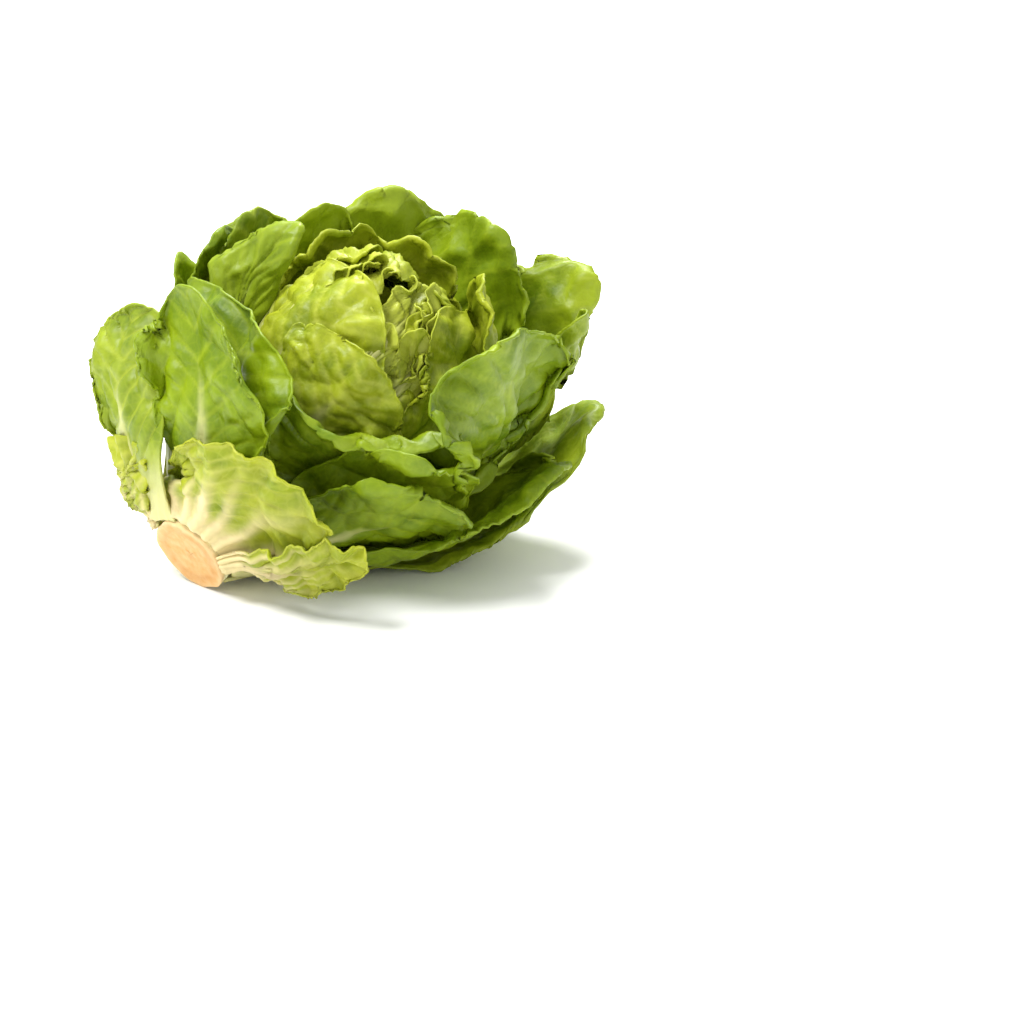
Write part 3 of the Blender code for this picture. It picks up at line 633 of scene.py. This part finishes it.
def laid_leaves(hearts):
    """The outer leaves as grids that clear the heart, the stem and each other."""
    solids = [core_solid()] + [heart_leaf_solid(points) for points in hearts]
    inside = [ray for points in hearts for ray in rays_to(points)]
    laid = []
    for leaf in OUTER:
        points, u, v = leaf_grid(leaf, ROWS, COLUMNS)
        thick = blade_thickness(leaf, u, v)
        points = outside(off_stem(points, thick, leaf), thick, search_tree(solids), inside)
        points = off_floor(off_stem(points, thick, leaf), thick, leaf.above_floor)
        solids.append(sheet_solid(points, thick))
        inside += rays_to(points)
        laid.append((points, thick))
    return part_crossing(laid, search_tree(solids[: len(hearts) + 1]), len(solids))


def part_crossing(laid, heart, rounds):
    """The leaves after any that still cross are moved a little further out, inner ones first."""
    laid = list(laid)
    for _ in range(rounds):
        trees = [search_tree([sheet_solid(*grid)]) for grid in laid]
        crossing = False
        for k, (points, thick) in enumerate(laid):
            need = np.zeros(thick.size)
            faces = sheet_solid(points, thick)[1]
            for inner in [heart] + trees[:k]:
                for _, face in inner.overlap(trees[k]):
                    need[[vertex % thick.size for vertex in faces[face]]] = STILL_CROSSING
            if need.any():
                crossing = True
                points = moved_out(points, spread(need.reshape(thick.shape), points))
                points = off_stem(points, thick, OUTER[k])
                laid[k] = (off_floor(points, thick, OUTER[k].above_floor), thick)
        if not crossing:
            break
    return laid


# Where the model's own origin is in the layout

HEARTS = laid_heart()
LEAVES = laid_leaves(HEARTS)


def model_origin():
    """The middle of the head's box, on the surface below."""
    solids = [stem_solid(), core_solid()] + [heart_leaf_solid(points) for points in HEARTS]
    points = np.concatenate([solid[0] for solid in solids + [sheet_solid(*grid) for grid in LEAVES]])
    low, high = points.min(axis=0), points.max(axis=0)
    return np.array([0.5 * (low[0] + high[0]), 0.5 * (low[1] + high[1]), low[2]])


BASE = model_origin()


# Small patterns on a leaf, in millimetres along it and across it

def hashed(x, y, seed):
    """A value from 0 to 1 for each whole-numbered place."""
    wild = np.sin(x * 127.1 + y * 311.7 + seed * 74.7) * 43758.5453
    return wild - np.floor(wild)


def soft_noise(x, y, seed):
    """Smooth noise from -1 to 1, with one feature to a unit."""
    low_x, low_y = np.floor(x), np.floor(y)
    part_x, part_y = smoothstep(0, 1, x - low_x), smoothstep(0, 1, y - low_y)
    near, far = (
        hashed(low_x, side, seed) * (1 - part_x) + hashed(low_x + 1, side, seed) * part_x
        for side in (low_y, low_y + 1)
    )
    return 2 * (near * (1 - part_y) + far * part_y) - 1


def domes(x, y, seed):
    """Rounded cells of about a unit with creases between them: 0 in a crease, 1 on top."""
    first, second = np.full(x.shape, 9.0), np.full(x.shape, 9.0)
    for step_x in (-1, 0, 1):
        for step_y in (-1, 0, 1):
            cell_x, cell_y = np.floor(x) + step_x, np.floor(y) + step_y
            away_x = cell_x + hashed(cell_x, cell_y, seed) - x
            away_y = cell_y + hashed(cell_x, cell_y, seed + 5) - y
            away = np.hypot(away_x, away_y)
            second = np.minimum(second, np.maximum(first, away))
            first = np.minimum(first, away)
    return 1 - np.exp(-2.6 * (second - first))


# Finer sheets

def smooth_grid(values, rows, columns):
    """The grid's values on a finer grid, on smooth curves through its own."""
    high, wide = values.shape[:2]
    tall = natural_spline(np.arange(high), values.reshape(high, -1), np.linspace(0, high - 1, rows))
    turned = tall.reshape(rows, wide, -1).swapaxes(0, 1).reshape(wide, -1)
    full = natural_spline(np.arange(wide), turned, np.linspace(0, wide - 1, columns))
    return full.reshape(columns, rows, -1).swapaxes(0, 1)


def eased(points, passes):
    """The fine sheet with its sharp turns smoothed out, its foot kept in place and its rim kept a rim."""
    points = points.copy()
    for _ in range(passes):
        around = 0.25 * (points[:-2, 1:-1] + points[2:, 1:-1] + points[1:-1, :-2] + points[1:-1, 2:])
        sides = 0.5 * (points[:-2, [0, -1]] + points[2:, [0, -1]])
        tip = 0.5 * (points[-1, :-2] + points[-1, 2:])
        points[1:-1, 1:-1] += 0.5 * (around - points[1:-1, 1:-1])
        points[1:-1, [0, -1]] += 0.5 * (sides - points[1:-1, [0, -1]])
        points[-1, 1:-1] += 0.5 * (tip - points[-1, 1:-1])
    return points


def margin_of(points):
    """For each point of the sheet: how far off the margin is, the way to it, and the place along it."""
    edge = np.concatenate([points[:, 0], points[-1, 1:], points[-2::-1, -1]])
    along = np.concatenate([[0], np.cumsum(np.linalg.norm(np.diff(edge, axis=0), axis=1))])
    flat = points.reshape(-1, 3)
    gap = np.linalg.norm(flat[:, None] - edge[None], axis=2)
    near = gap.min(axis=1)
    weight = np.exp((near[:, None] - gap) / 1.5)
    weight /= weight.sum(axis=1, keepdims=True)
    way = (weight @ edge - flat).reshape(points.shape)
    way[:, 0], way[:, -1], way[-1] = way[:, 2], way[:, -3], way[-3]
    normal = grid_normals(points)
    way = way - (way * normal).sum(-1)[..., None] * normal
    size = np.linalg.norm(way, axis=-1, keepdims=True)
    place = (weight @ along).reshape(points.shape[:2])
    return near.reshape(points.shape[:2]), way / np.maximum(size, 1e-6), place


def rolled(points, near, way, radius, turn):
    """The sheet with its margin rolled over onto its back, round a tube of this radius."""
    normal = grid_normals(points)
    depth = np.maximum(radius * turn - near, 0.0)
    angle = depth / np.maximum(radius, 1e-6)
    lift, slide = radius * (1 - np.cos(angle)), radius * np.sin(angle) - depth
    return points + lift[..., None] * normal + slide[..., None] * way


@dataclass
class Look:
    """How a leaf's surface departs from its plain sheet: the height of its large and small blisters,
    of its slow bumps and of the waves at its margin, the length of those waves, the radius and angle
    of the rolled margin, the height of the ribs at its foot, how much wider its stalk is, how far its
    blade is lightened, partly its own lighter tone and partly painted light that lightens leaves the
    lamps leave in shade, and how often the sheet is smoothed first."""

    puff: float = 2.4
    small: float = 0.35
    sway: float = 3.0
    ruffle: float = 1.1
    wave: float = 36.0
    roll_radius: float = 4.2
    roll_turn: float = 2.3
    ribs: float = 0.0
    wings: float = 0.0
    pale_and_painted_light: float = 0.0
    ease: int = 140


def veins(s, t, place, v, length, seed):
    """How much side vein and how much rib there is at each point, how much of the ribs that fan out
    at the foot, and how far it is to the next side vein, as a share of the way between two. The side
    veins leave the rib in turn and bend towards the tip."""
    lean = SIDE_VEINS * (place - VEIN_LEAN * np.abs(v) ** 1.15)
    phase = lean + 0.35 * soft_noise(s / 30, t / 30, seed + 2)
    off_vein = np.abs(phase - np.round(phase))
    vein = np.exp(-((off_vein * length / SIDE_VEINS / VEIN_WIDTH) ** 2)) * (1 - 0.7 * np.abs(v))
    rib = np.exp(-((t / (4.6 - 5.2 * place).clip(1.2)) ** 2)) * (1 - smoothstep(0.25, 0.75, place))
    turns = FOOT_RIBS * v + 0.5 * soft_noise(s / 25, t / 25, seed)
    fan = (0.5 + 0.5 * np.cos(2 * math.pi * turns)) ** 2
    return vein, rib, fan, off_vein


def puffed(look, s, t, off_vein, seed):
    """The height of the blisters, which stand between the side veins, and of the slow bumps."""
    between_veins = 0.45 + 0.55 * smoothstep(0.0, 0.3, off_vein)
    rise = look.puff * domes(s / LARGE_BLISTER[0] + seed, t / LARGE_BLISTER[1], seed) * between_veins
    rise += look.small * domes(s / SMALL_BLISTER[0], t / SMALL_BLISTER[1], seed + 1)
    long_bumps = soft_noise(s / LONG_BUMP[0], t / LONG_BUMP[1], seed + 3)
    short_bumps = soft_noise(s / SHORT_BUMP[0], t / SHORT_BUMP[1], seed + 4)
    return rise + look.sway * long_bumps + 0.4 * look.sway * short_bumps


def margin_waves(look, near, along, seed):
    """The height of the margin's long waves and short ones, at each point's place along it."""
    turn = 2 * math.pi * along / look.wave + 2.2 * soft_noise(along / 40, 0 * along, seed + 6)
    long_wave = np.sin(turn) + 0.3 * np.sin(2.7 * turn + seed)
    rise = look.ruffle * long_wave * np.exp(-((near / LONG_WAVES_REACH) ** 2))
    return rise + 0.1 * look.ruffle * np.sin(6.1 * turn) * np.exp(-((near / EDGE_REACH) ** 2))


def dressed(leaf, look, sheet, grid, seed):
    """A leaf's fine sheet, from its coarse one with its thickness and its places: its points, its
    thickness, and for each point how much rib, vein and margin there is, as colours. The vein share
    also carries how far the whole leaf is lightened, partly its own tone and partly painted light,
    and the margin share a light rim that is partly a painted highlight."""
    coarse, *rest = sheet
    points = eased(smooth_grid(coarse, *grid), look.ease)
    thick, place, v = (smooth_grid(values, *grid)[..., 0] for values in rest)
    place, v = np.clip(place, 0, 1), np.clip(v, -1, 1)
    stalk = smoothstep(0.04, 0.2, place) * (1 - smoothstep(0.35, 0.6, place))
    points = points + (look.wings * stalk * v)[..., None] * unit(points[:, -1:] - points[:, :1])
    length = np.linalg.norm(np.diff(coarse[:, coarse.shape[1] // 2], axis=0), axis=1).sum()
    s, t = place * length, v * half_width(leaf, place, v)
    near, way, along = margin_of(points)
    on_blade = smoothstep(0.12, 0.4, place)

    vein, rib, fan, off_vein = veins(s, t, place, v, length, seed)
    ridges = (0.5 * vein + 1.1 * rib) * (1 - 0.6 * place)
    ridges += look.ribs * fan * (1 - smoothstep(0.3, 0.85, place))
    flatter = 0.35 + 0.65 * smoothstep(0.0, FLATTER_MARGIN, near)
    rise = puffed(look, s, t, off_vein, seed) * on_blade * flatter * (1 - 0.8 * rib) + ridges
    rise += margin_waves(look, near, along, seed) * on_blade
    rise[0] = 0.0
    points = points + rise[..., None] * grid_normals(points)

    # the margin's roll, tighter in some places than in others, and nothing sinks into the surface
    tightness = 0.75 + 0.45 * soft_noise(along / 33, 0 * along + 3, seed + 7)
    turned = look.roll_turn * tightness * smoothstep(0.25, 0.5, place)
    points = rolled(points, near, way, look.roll_radius * (0.4 + 0.6 * on_blade), turned)
    points[..., 2] = np.maximum(points[..., 2], BASE[2] + 0.5 * thick + 0.1)

    foot = 1 - smoothstep(0.02, 0.34, place)
    fan_white = (0.75 if look.ribs else 0.0) * fan * (1 - smoothstep(0.25, 0.9, place))
    white = np.clip(np.maximum(foot, 0.9 * rib) + fan_white, 0, 1)
    # the vein colour mixed in: lighter veins, and the whole leaf lightened, partly its own paler tone and
    # partly painted light on leaves that the lamps leave in shade
    vein_pale_and_painted_light = np.clip(vein * on_blade + look.pale_and_painted_light, 0, 1)
    # the third colour is the margin's light rim, partly its pale edge and partly a painted rim highlight
    return points, thick, np.stack([white, vein_pale_and_painted_light, np.exp(-near / EDGE_REACH)], axis=-1)


def sheet_object(name, sheets, material):
    """One object of closed sheets: a front and a back face each, joined along the rim."""
    points, faces, colours = [], [], []
    count = 0
    for grid, thick, tint in sheets:
        rows, columns = grid.shape[:2]
        half = 0.5 * thick[..., None] * grid_normals(grid)
        index = np.arange(rows * columns).reshape(rows, columns) + count
        under = rows * columns
        corners = [index[:-1, :-1], index[:-1, 1:], index[1:, 1:], index[1:, :-1]]
        front = np.stack(corners, axis=-1).reshape(-1, 4)
        rim = np.concatenate([index[0, :], index[1:, -1], index[-1, -2::-1], index[-2:0:-1, 0]])
        ahead = np.roll(rim, -1)
        walls = np.stack([ahead, rim, rim + under, ahead + under], axis=-1)
        faces += [front, front[:, ::-1] + under, walls]
        points += [(grid + half).reshape(-1, 3), (grid - half).reshape(-1, 3)]
        colours += [tint.reshape(-1, 3)] * 2
        count += 2 * under
    joined = (np.concatenate(part) for part in (points, faces, colours))
    return mesh_object(name, *joined, material)


def mesh_object(name, points, faces, colours, material):
    """An object on the model's own origin, with a colour for each point."""
    mesh = bpy.data.meshes.new(name)
    mesh.from_pydata(((points - BASE) * MM).tolist(), [], [list(map(int, face)) for face in faces])
    layer = mesh.color_attributes.new("leaf", "FLOAT_COLOR", "POINT")
    rgba = np.concatenate([colours, np.ones((len(colours), 1))], axis=1)
    layer.data.foreach_set("color", rgba.astype(np.float32).ravel())
    mesh.materials.append(material)
    mesh.shade_smooth()
    made = bpy.data.objects.new(name, mesh)
    bpy.context.scene.collection.objects.link(made)
    return made


# Materials

class Nodes:
    """A material's node tree, with short calls that add and link nodes."""

    def __init__(self, name):
        self.material = bpy.data.materials.new(name)
        self.material.use_nodes = True
        self.tree = self.material.node_tree
        self.shader = self.tree.nodes["Principled BSDF"]
        self.output = self.tree.nodes["Material Output"]
        self.place = self.add("ShaderNodeTexCoord").outputs["Object"]

    def add(self, kind, **values):
        node = self.tree.nodes.new(kind)
        for key, value in values.items():
            setattr(node, key, value)
        return node

    def link(self, start, end):
        self.tree.links.new(start, end)

    def noise(self, scale, detail=3.0, rough=0.55):
        node = self.add("ShaderNodeTexNoise")
        node.inputs["Scale"].default_value = scale
        node.inputs["Detail"].default_value = detail
        node.inputs["Roughness"].default_value = rough
        self.link(self.place, node.inputs["Vector"])
        return node.outputs["Fac"]

    def cells(self, scale):
        node = self.add("ShaderNodeTexVoronoi", feature="DISTANCE_TO_EDGE")
        node.inputs["Scale"].default_value = scale
        self.link(self.place, node.inputs["Vector"])
        return node.outputs["Distance"]

    def ramp(self, value, low, high, start=0.0, end=1.0):
        node = self.add("ShaderNodeMapRange")
        for key, number in (("From Min", low), ("From Max", high), ("To Min", start), ("To Max", end)):
            node.inputs[key].default_value = number
        self.link(value, node.inputs["Value"])
        return node.outputs["Result"]

    def mix(self, share, first, second):
        node = self.add("ShaderNodeMix", data_type="RGBA")
        for socket, value in ((node.inputs[6], first), (node.inputs[7], second)):
            if isinstance(value, tuple):
                socket.default_value = (*value, 1.0)
            else:
                self.link(value, socket)
        self.link(share, node.inputs[0])
        return node.outputs[2]

    def attribute(self, name):
        node = self.add("ShaderNodeAttribute", attribute_name=name)
        parts = self.add("ShaderNodeSeparateColor")
        self.link(node.outputs["Color"], parts.inputs["Color"])
        return parts.outputs["Red"], parts.outputs["Green"], parts.outputs["Blue"]

    def bump(self, height, strength, distance, under=None):
        node = self.add("ShaderNodeBump")
        node.inputs["Strength"].default_value = strength
        node.inputs["Distance"].default_value = distance
        self.link(height, node.inputs["Height"])
        if under:
            self.link(under, node.inputs["Normal"])
        return node.outputs["Normal"]


def leaf_material(name, blade, deep, vein_colour, rib_colour, glow=0.25, roughness=0.42):
    """A leaf: green blade with slow changes of tone, lighter veins, a white rib, a light rim that is
    partly a painted highlight, painted light where a whole leaf is lightened, and light through it.
    """
    n = Nodes(name)
    rib, vein, margin = n.attribute("leaf")
    colour = n.mix(n.ramp(n.noise(38), 0.35, 0.7), deep, blade)
    lighter_tone_and_rim_highlight = tuple(min(1.0, 1.25 * c + 0.01) for c in blade)
    colour = n.mix(n.ramp(n.noise(110), 0.45, 0.75, 0.0, 0.5), colour, lighter_tone_and_rim_highlight)
    colour = n.mix(n.ramp(n.cells(230), 0.0, 0.12, 0.14, 0.0), colour, vein_colour)
    # the vein colour mixed in: lighter veins, and painted light where a whole leaf is lightened
    colour = n.mix(n.ramp(vein, 0.1, 1.0, 0.0, 0.55), colour, vein_colour)
    # a lighter rim along the margin: partly the leaf's pale edge and partly a painted rim highlight
    colour = n.mix(n.ramp(margin, 0.3, 1.0, 0.0, 0.25), colour, lighter_tone_and_rim_highlight)
    colour = n.mix(rib, colour, rib_colour)
    normal = n.bump(n.cells(230), 0.35, 0.0006)
    normal = n.bump(n.noise(420, 4.0, 0.6), 0.3, 0.0007, normal)
    n.link(colour, n.shader.inputs["Base Color"])
    n.link(n.ramp(n.noise(90), 0.3, 0.7, roughness - 0.07, roughness + 0.1), n.shader.inputs["Roughness"])
    n.link(normal, n.shader.inputs["Normal"])
    n.shader.inputs["Specular IOR Level"].default_value = 0.35
    through = n.add("ShaderNodeBsdfTranslucent")
    n.link(colour, through.inputs["Color"])
    n.link(normal, through.inputs["Normal"])
    both = n.add("ShaderNodeMixShader")
    both.inputs["Fac"].default_value = glow
    n.link(n.shader.outputs["BSDF"], both.inputs[1])
    n.link(through.outputs["BSDF"], both.inputs[2])
    n.link(both.outputs["Shader"], n.output.inputs["Surface"])
    return n.material


def stem_material():
    """The stem: pale ribbed sides, and a tan cut with a browner ring and rough grain."""
    n = Nodes("stem_skin")
    cut, ring_share, worn = n.attribute("leaf")
    side = n.mix(n.ramp(n.noise(120), 0.35, 0.7), (0.86, 0.84, 0.52), (0.70, 0.72, 0.30))
    face = n.mix(n.ramp(n.noise(260, 5.0), 0.35, 0.7), (0.62, 0.34, 0.10), (0.70, 0.46, 0.20))
    face = n.mix(ring_share, face, (0.48, 0.21, 0.04))
    face = n.mix(n.ramp(worn, 0.0, 1.0, 0.0, 0.8), face, (0.70, 0.50, 0.24))
    n.link(n.mix(cut, side, face), n.shader.inputs["Base Color"])
    n.link(n.ramp(n.noise(200), 0.3, 0.7, 0.5, 0.75), n.shader.inputs["Roughness"])
    normal = n.bump(n.noise(500, 5.0, 0.65), 0.5, 0.0009)
    n.link(n.bump(n.cells(300), 0.3, 0.0005, normal), n.shader.inputs["Normal"])
    return n.material


# The pieces

PLAIN = Look()
CROWDED = Look(puff=3.0, roll_radius=3.6, roll_turn=1.6, ease=360)
LOOKS = {
    "leaf_nest_front": Look(puff=3.2, sway=3.6, ruffle=2.0, roll_radius=4.5, roll_turn=2.6),
    "leaf_nest_corner": Look(puff=3.2, sway=4.0, ruffle=1.8, roll_radius=4.0, roll_turn=2.2),
    "leaf_nest_right": Look(puff=4.2, sway=4.5, ruffle=1.8, roll_radius=6.0, roll_turn=2.6),
    "leaf_nest_left": Look(puff=2.2, sway=1.8, ruffle=1.0, roll_radius=2.4, roll_turn=1.6, pale_and_painted_light=0.6,
                           ease=400),
    # The back leaves' paleness is painted light: it lightens leaves that the lamps leave in shade
    "leaf_back_left": Look(puff=3.4, roll_radius=5.0, roll_turn=1.8, pale_and_painted_light=1.0, ease=260),
    "leaf_left_high": CROWDED,
    "leaf_left_fold": CROWDED,
    "leaf_left_curl": CROWDED,
    "leaf_puff_right": Look(puff=3.4, roll_radius=4.0, roll_turn=1.6, ease=400),
    "leaf_right_far": Look(puff=3.4, roll_radius=5.0, roll_turn=2.0, ease=260),
    # Painted light again: these two back leaves are lightened where the lamps leave them in shade
    "leaf_back_mid": Look(puff=3.6, roll_radius=6.0, pale_and_painted_light=1.0),
    "leaf_back_right": Look(puff=3.6, roll_radius=5.5, pale_and_painted_light=0.4),
    "leaf_front_left": Look(puff=3.6, sway=5.5, ruffle=2.2, wave=48, roll_radius=3.6, roll_turn=1.9),
    "leaf_front_base": Look(puff=3.4, sway=4.5, ruffle=1.8, wave=19, roll_radius=2.6, roll_turn=1.6,
                            ribs=1.5),
    "leaf_under": Look(puff=2.2, ruffle=2.0, wave=16, roll_radius=1.8, roll_turn=1.2, ribs=1.3),
    "leaf_left_low": Look(puff=2.2, ruffle=2.8, wave=12, roll_radius=1.8, roll_turn=1.0, ribs=1.1,
                          ease=260),
    "leaf_left_puff": Look(puff=3.6, sway=4.0, ruffle=1.0, roll_radius=5.0, roll_turn=1.7, wings=11.0,
                           pale_and_painted_light=0.3),
    "leaf_front_low": Look(puff=3.0, ruffle=1.4, roll_radius=3.2, roll_turn=2.0),
    "leaf_front_under": Look(puff=3.0, ruffle=1.4, roll_radius=3.2, roll_turn=1.8),
}
HEART_LOOK = Look(puff=3.2, small=0.8, sway=2.8, ruffle=1.6, wave=22, roll_radius=2.4, roll_turn=1.6)
# The crown's paleness is partly the inner leaves' own yellower tone and partly painted light against the
# shade in the opening
CROWN_LOOK = Look(puff=1.8, small=0.5, sway=2.4, ruffle=1.6, wave=14, roll_radius=1.2, roll_turn=0.9,
                  pale_and_painted_light=0.7)

# Small crumpled leaves that fill the open crown, which the solid model leaves out
CROWN = [
    Leaf(f"inner_{k}", 60, (50, 43 * k, 35 + k % 3), (6 + 5 * (k % 5), 43 * k + 24, 40 + 1.6 * (k % 4)),
         (15, 15), (35, 35), ruffle=2.0, tip_roll=2.5, waves=9.0)
    for k in range(11)
] + [
    Leaf(f"crown_{k}", 60, (44, 70 + 28 * k, 38), (9 + 4 * (k % 3), 88 + 18 * k, 43 + k % 2),
         (17, 17), (35, 35), ruffle=1.5, tip_roll=2.0, waves=9.0)
    for k in range(5)
]

# Each tone's blade, its darker patches, its veins and its ribs, as linear light
RIB_WHITE = (0.72, 0.70, 0.30)
MATERIALS = {
    tone: leaf_material("leaf_" + tone, *colours)
    for tone, colours in {
        "fresh": ((0.26, 0.36, 0.002), (0.11, 0.19, 0.001), (0.36, 0.45, 0.02), RIB_WHITE),
        "deep": ((0.31, 0.39, 0.010), (0.12, 0.20, 0.002), (0.44, 0.51, 0.05), RIB_WHITE),
        "ribbed": ((0.44, 0.47, 0.020), (0.24, 0.32, 0.003), (0.58, 0.60, 0.10), (0.82, 0.70, 0.36)),
        "heart": ((0.42, 0.47, 0.018), (0.20, 0.27, 0.002), (0.54, 0.58, 0.08), RIB_WHITE),
    }.items()
}


def dress_leaves(laid):
    """Each outer leaf as a piece of its own, which takes the place of its solid."""
    for k, (leaf, (coarse, thick)) in enumerate(zip(OUTER, laid)):
        _, place, v = leaf_grid(leaf, ROWS, COLUMNS)
        look = LOOKS.get(leaf.name, PLAIN)
        sheet = dressed(leaf, look, (coarse, thick, place, v), LEAF_GRID, LEAF_SEED + 3 * k)
        piece = sheet_object(leaf.name + "_blade", [sheet], MATERIALS[leaf.tone])
        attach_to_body(piece, "root")
        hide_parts(leaf.name)


def heart_piece(name, leaves, laid, look, grid, seed):
    """Some of the heart's leaves as one piece, which takes the place of its solid."""
    sheets = []
    for k, (leaf, coarse) in enumerate(zip(leaves, laid)):
        _, place, v = leaf_grid(leaf, HEART_ROWS, HEART_COLUMNS)
        thick = HEART_THINNER * blade_thickness(leaf, place, v)
        sheets.append(dressed(leaf, look, (coarse, thick, place, v), grid, seed + 3 * k))
    piece = sheet_object(name, sheets, MATERIALS["heart"])
    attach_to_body(piece, "root")
    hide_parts("heart")


def dress_heart(laid):
    """The heart's leaves, and the crumpled ones in its opening."""
    heart_piece("heart_leaves", HEART, laid, HEART_LOOK, HEART_GRID, HEART_SEED)
    crown = [leaf_grid(leaf, HEART_ROWS, HEART_COLUMNS)[0] for leaf in CROWN]
    heart_piece("crown_leaves", CROWN, crown, CROWN_LOOK, CROWN_GRID, CROWN_SEED)


def dress_stem():
    """The stem with fluted sides and a worn, slightly dished cut."""
    turns = np.linspace(0, 2 * math.pi, FINE_STEM_SIDES, endpoint=False)
    wobble = 0.5 * np.sin(2 * turns + 1) + 0.35 * np.sin(5 * turns) + 0.25 * np.sin(11 * turns + 2)
    flutes = np.abs(np.sin(4.5 * turns))
    rings, colours = [], []
    for share in CUT_RINGS:
        radius = share * (STEM_RADIUS - 0.4) + wobble * share
        offset = (radius / STEM_RADIUS)[:, None] * ring(STEM_RADIUS, FINE_STEM_SIDES)
        dish = CUT_DISH * (1 - share**2) + 0.35 * soft_noise(share * 9 + 0 * turns, turns * 3, 7)
        rings.append(CUT_CENTRE + offset + (rim_slant(offset, 0.0) + dish)[:, None] * STEM_AXIS)
        band = math.exp(-(((share - BROWN_RING) / BROWN_RING_WIDTH) ** 2))
        colours.append([1.0, 0.55 * band, smoothstep(0.9, 1.0, share)])
    for along in SIDE_RINGS:
        radius = stem_radius(along) + wobble + (0.9 * flutes - 0.3) * smoothstep(0.5, 6.0, along)
        offset = (radius / STEM_RADIUS)[:, None] * ring(STEM_RADIUS, FINE_STEM_SIDES)
        rings.append(CUT_CENTRE + offset + (along + rim_slant(offset, along))[:, None] * STEM_AXIS)
        colours.append([1 - smoothstep(0.8, 3.0, along), 0.0, 1 - smoothstep(0.5, 2.0, along)])
    points, faces = lathe_solid(rings, CUT_CENTRE + STEM_LENGTH * STEM_AXIS)
    tint = np.repeat(np.array(colours, float), FINE_STEM_SIDES, axis=0)
    tint = np.concatenate([[colours[0]], tint, [colours[-1]]])
    piece = mesh_object("stem_cut", points, faces, tint, stem_material())
    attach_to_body(piece, "root")
    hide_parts("stem")


# The camera, the surface and the light

def aim(thing, place, target):
    """The thing at this place, facing the target."""
    thing.location = place
    thing.rotation_euler = (Vector(target) - Vector(place)).to_track_quat("-Z", "Y").to_euler()


def add_camera():
    target = (CAMERA_TARGET - BASE) * MM
    rise = math.radians(CAMERA_RISE)
    camera = bpy.data.cameras.new("camera")
    camera.sensor_width = 36.0
    camera.lens = 18.0 / (HALF_WIDTH_SEEN / CAMERA_DISTANCE)
    eye = bpy.data.objects.new("camera", camera)
    aim(eye, target + CAMERA_DISTANCE * np.array([0.0, -math.cos(rise), math.sin(rise)]), target)
    bpy.context.scene.collection.objects.link(eye)
    bpy.context.scene.camera = eye


def add_light(name, place, target, power):
    light = bpy.data.lights.new(name, "AREA")
    light.shape, light.size, light.energy = "DISK", LAMP_SIZE, power
    lamp = bpy.data.objects.new(name, light)
    aim(lamp, place, target)
    bpy.context.scene.collection.objects.link(lamp)


def add_floor():
    mesh = bpy.data.meshes.new("floor")
    corners = [(FLOOR_HALF * x, FLOOR_HALF * y, 0) for x, y in ((-1, -1), (1, -1), (1, 1), (-1, 1))]
    mesh.from_pydata(corners, [], [(0, 1, 2, 3)])
    n = Nodes("floor_white")
    n.shader.inputs["Base Color"].default_value = (0.93, 0.93, 0.93, 1.0)
    n.shader.inputs["Roughness"].default_value = 0.7
    mesh.materials.append(n.material)
    floor = bpy.data.objects.new("floor", mesh)
    bpy.context.scene.collection.objects.link(floor)


def add_world():
    world = bpy.data.worlds.new("studio")
    world.use_nodes = True
    world.node_tree.nodes["Background"].inputs["Color"].default_value = (1.0, 1.0, 1.0, 1.0)
    world.node_tree.nodes["Background"].inputs["Strength"].default_value = WORLD_LIGHT
    bpy.context.scene.world = world
    bpy.context.scene.view_settings.view_transform = "Standard"


dress_leaves(LEAVES)
dress_heart(HEARTS)
dress_stem()
add_camera()
add_floor()
add_world()
for lamp_name, values in LAMPS.items():
    add_light(lamp_name, *values)
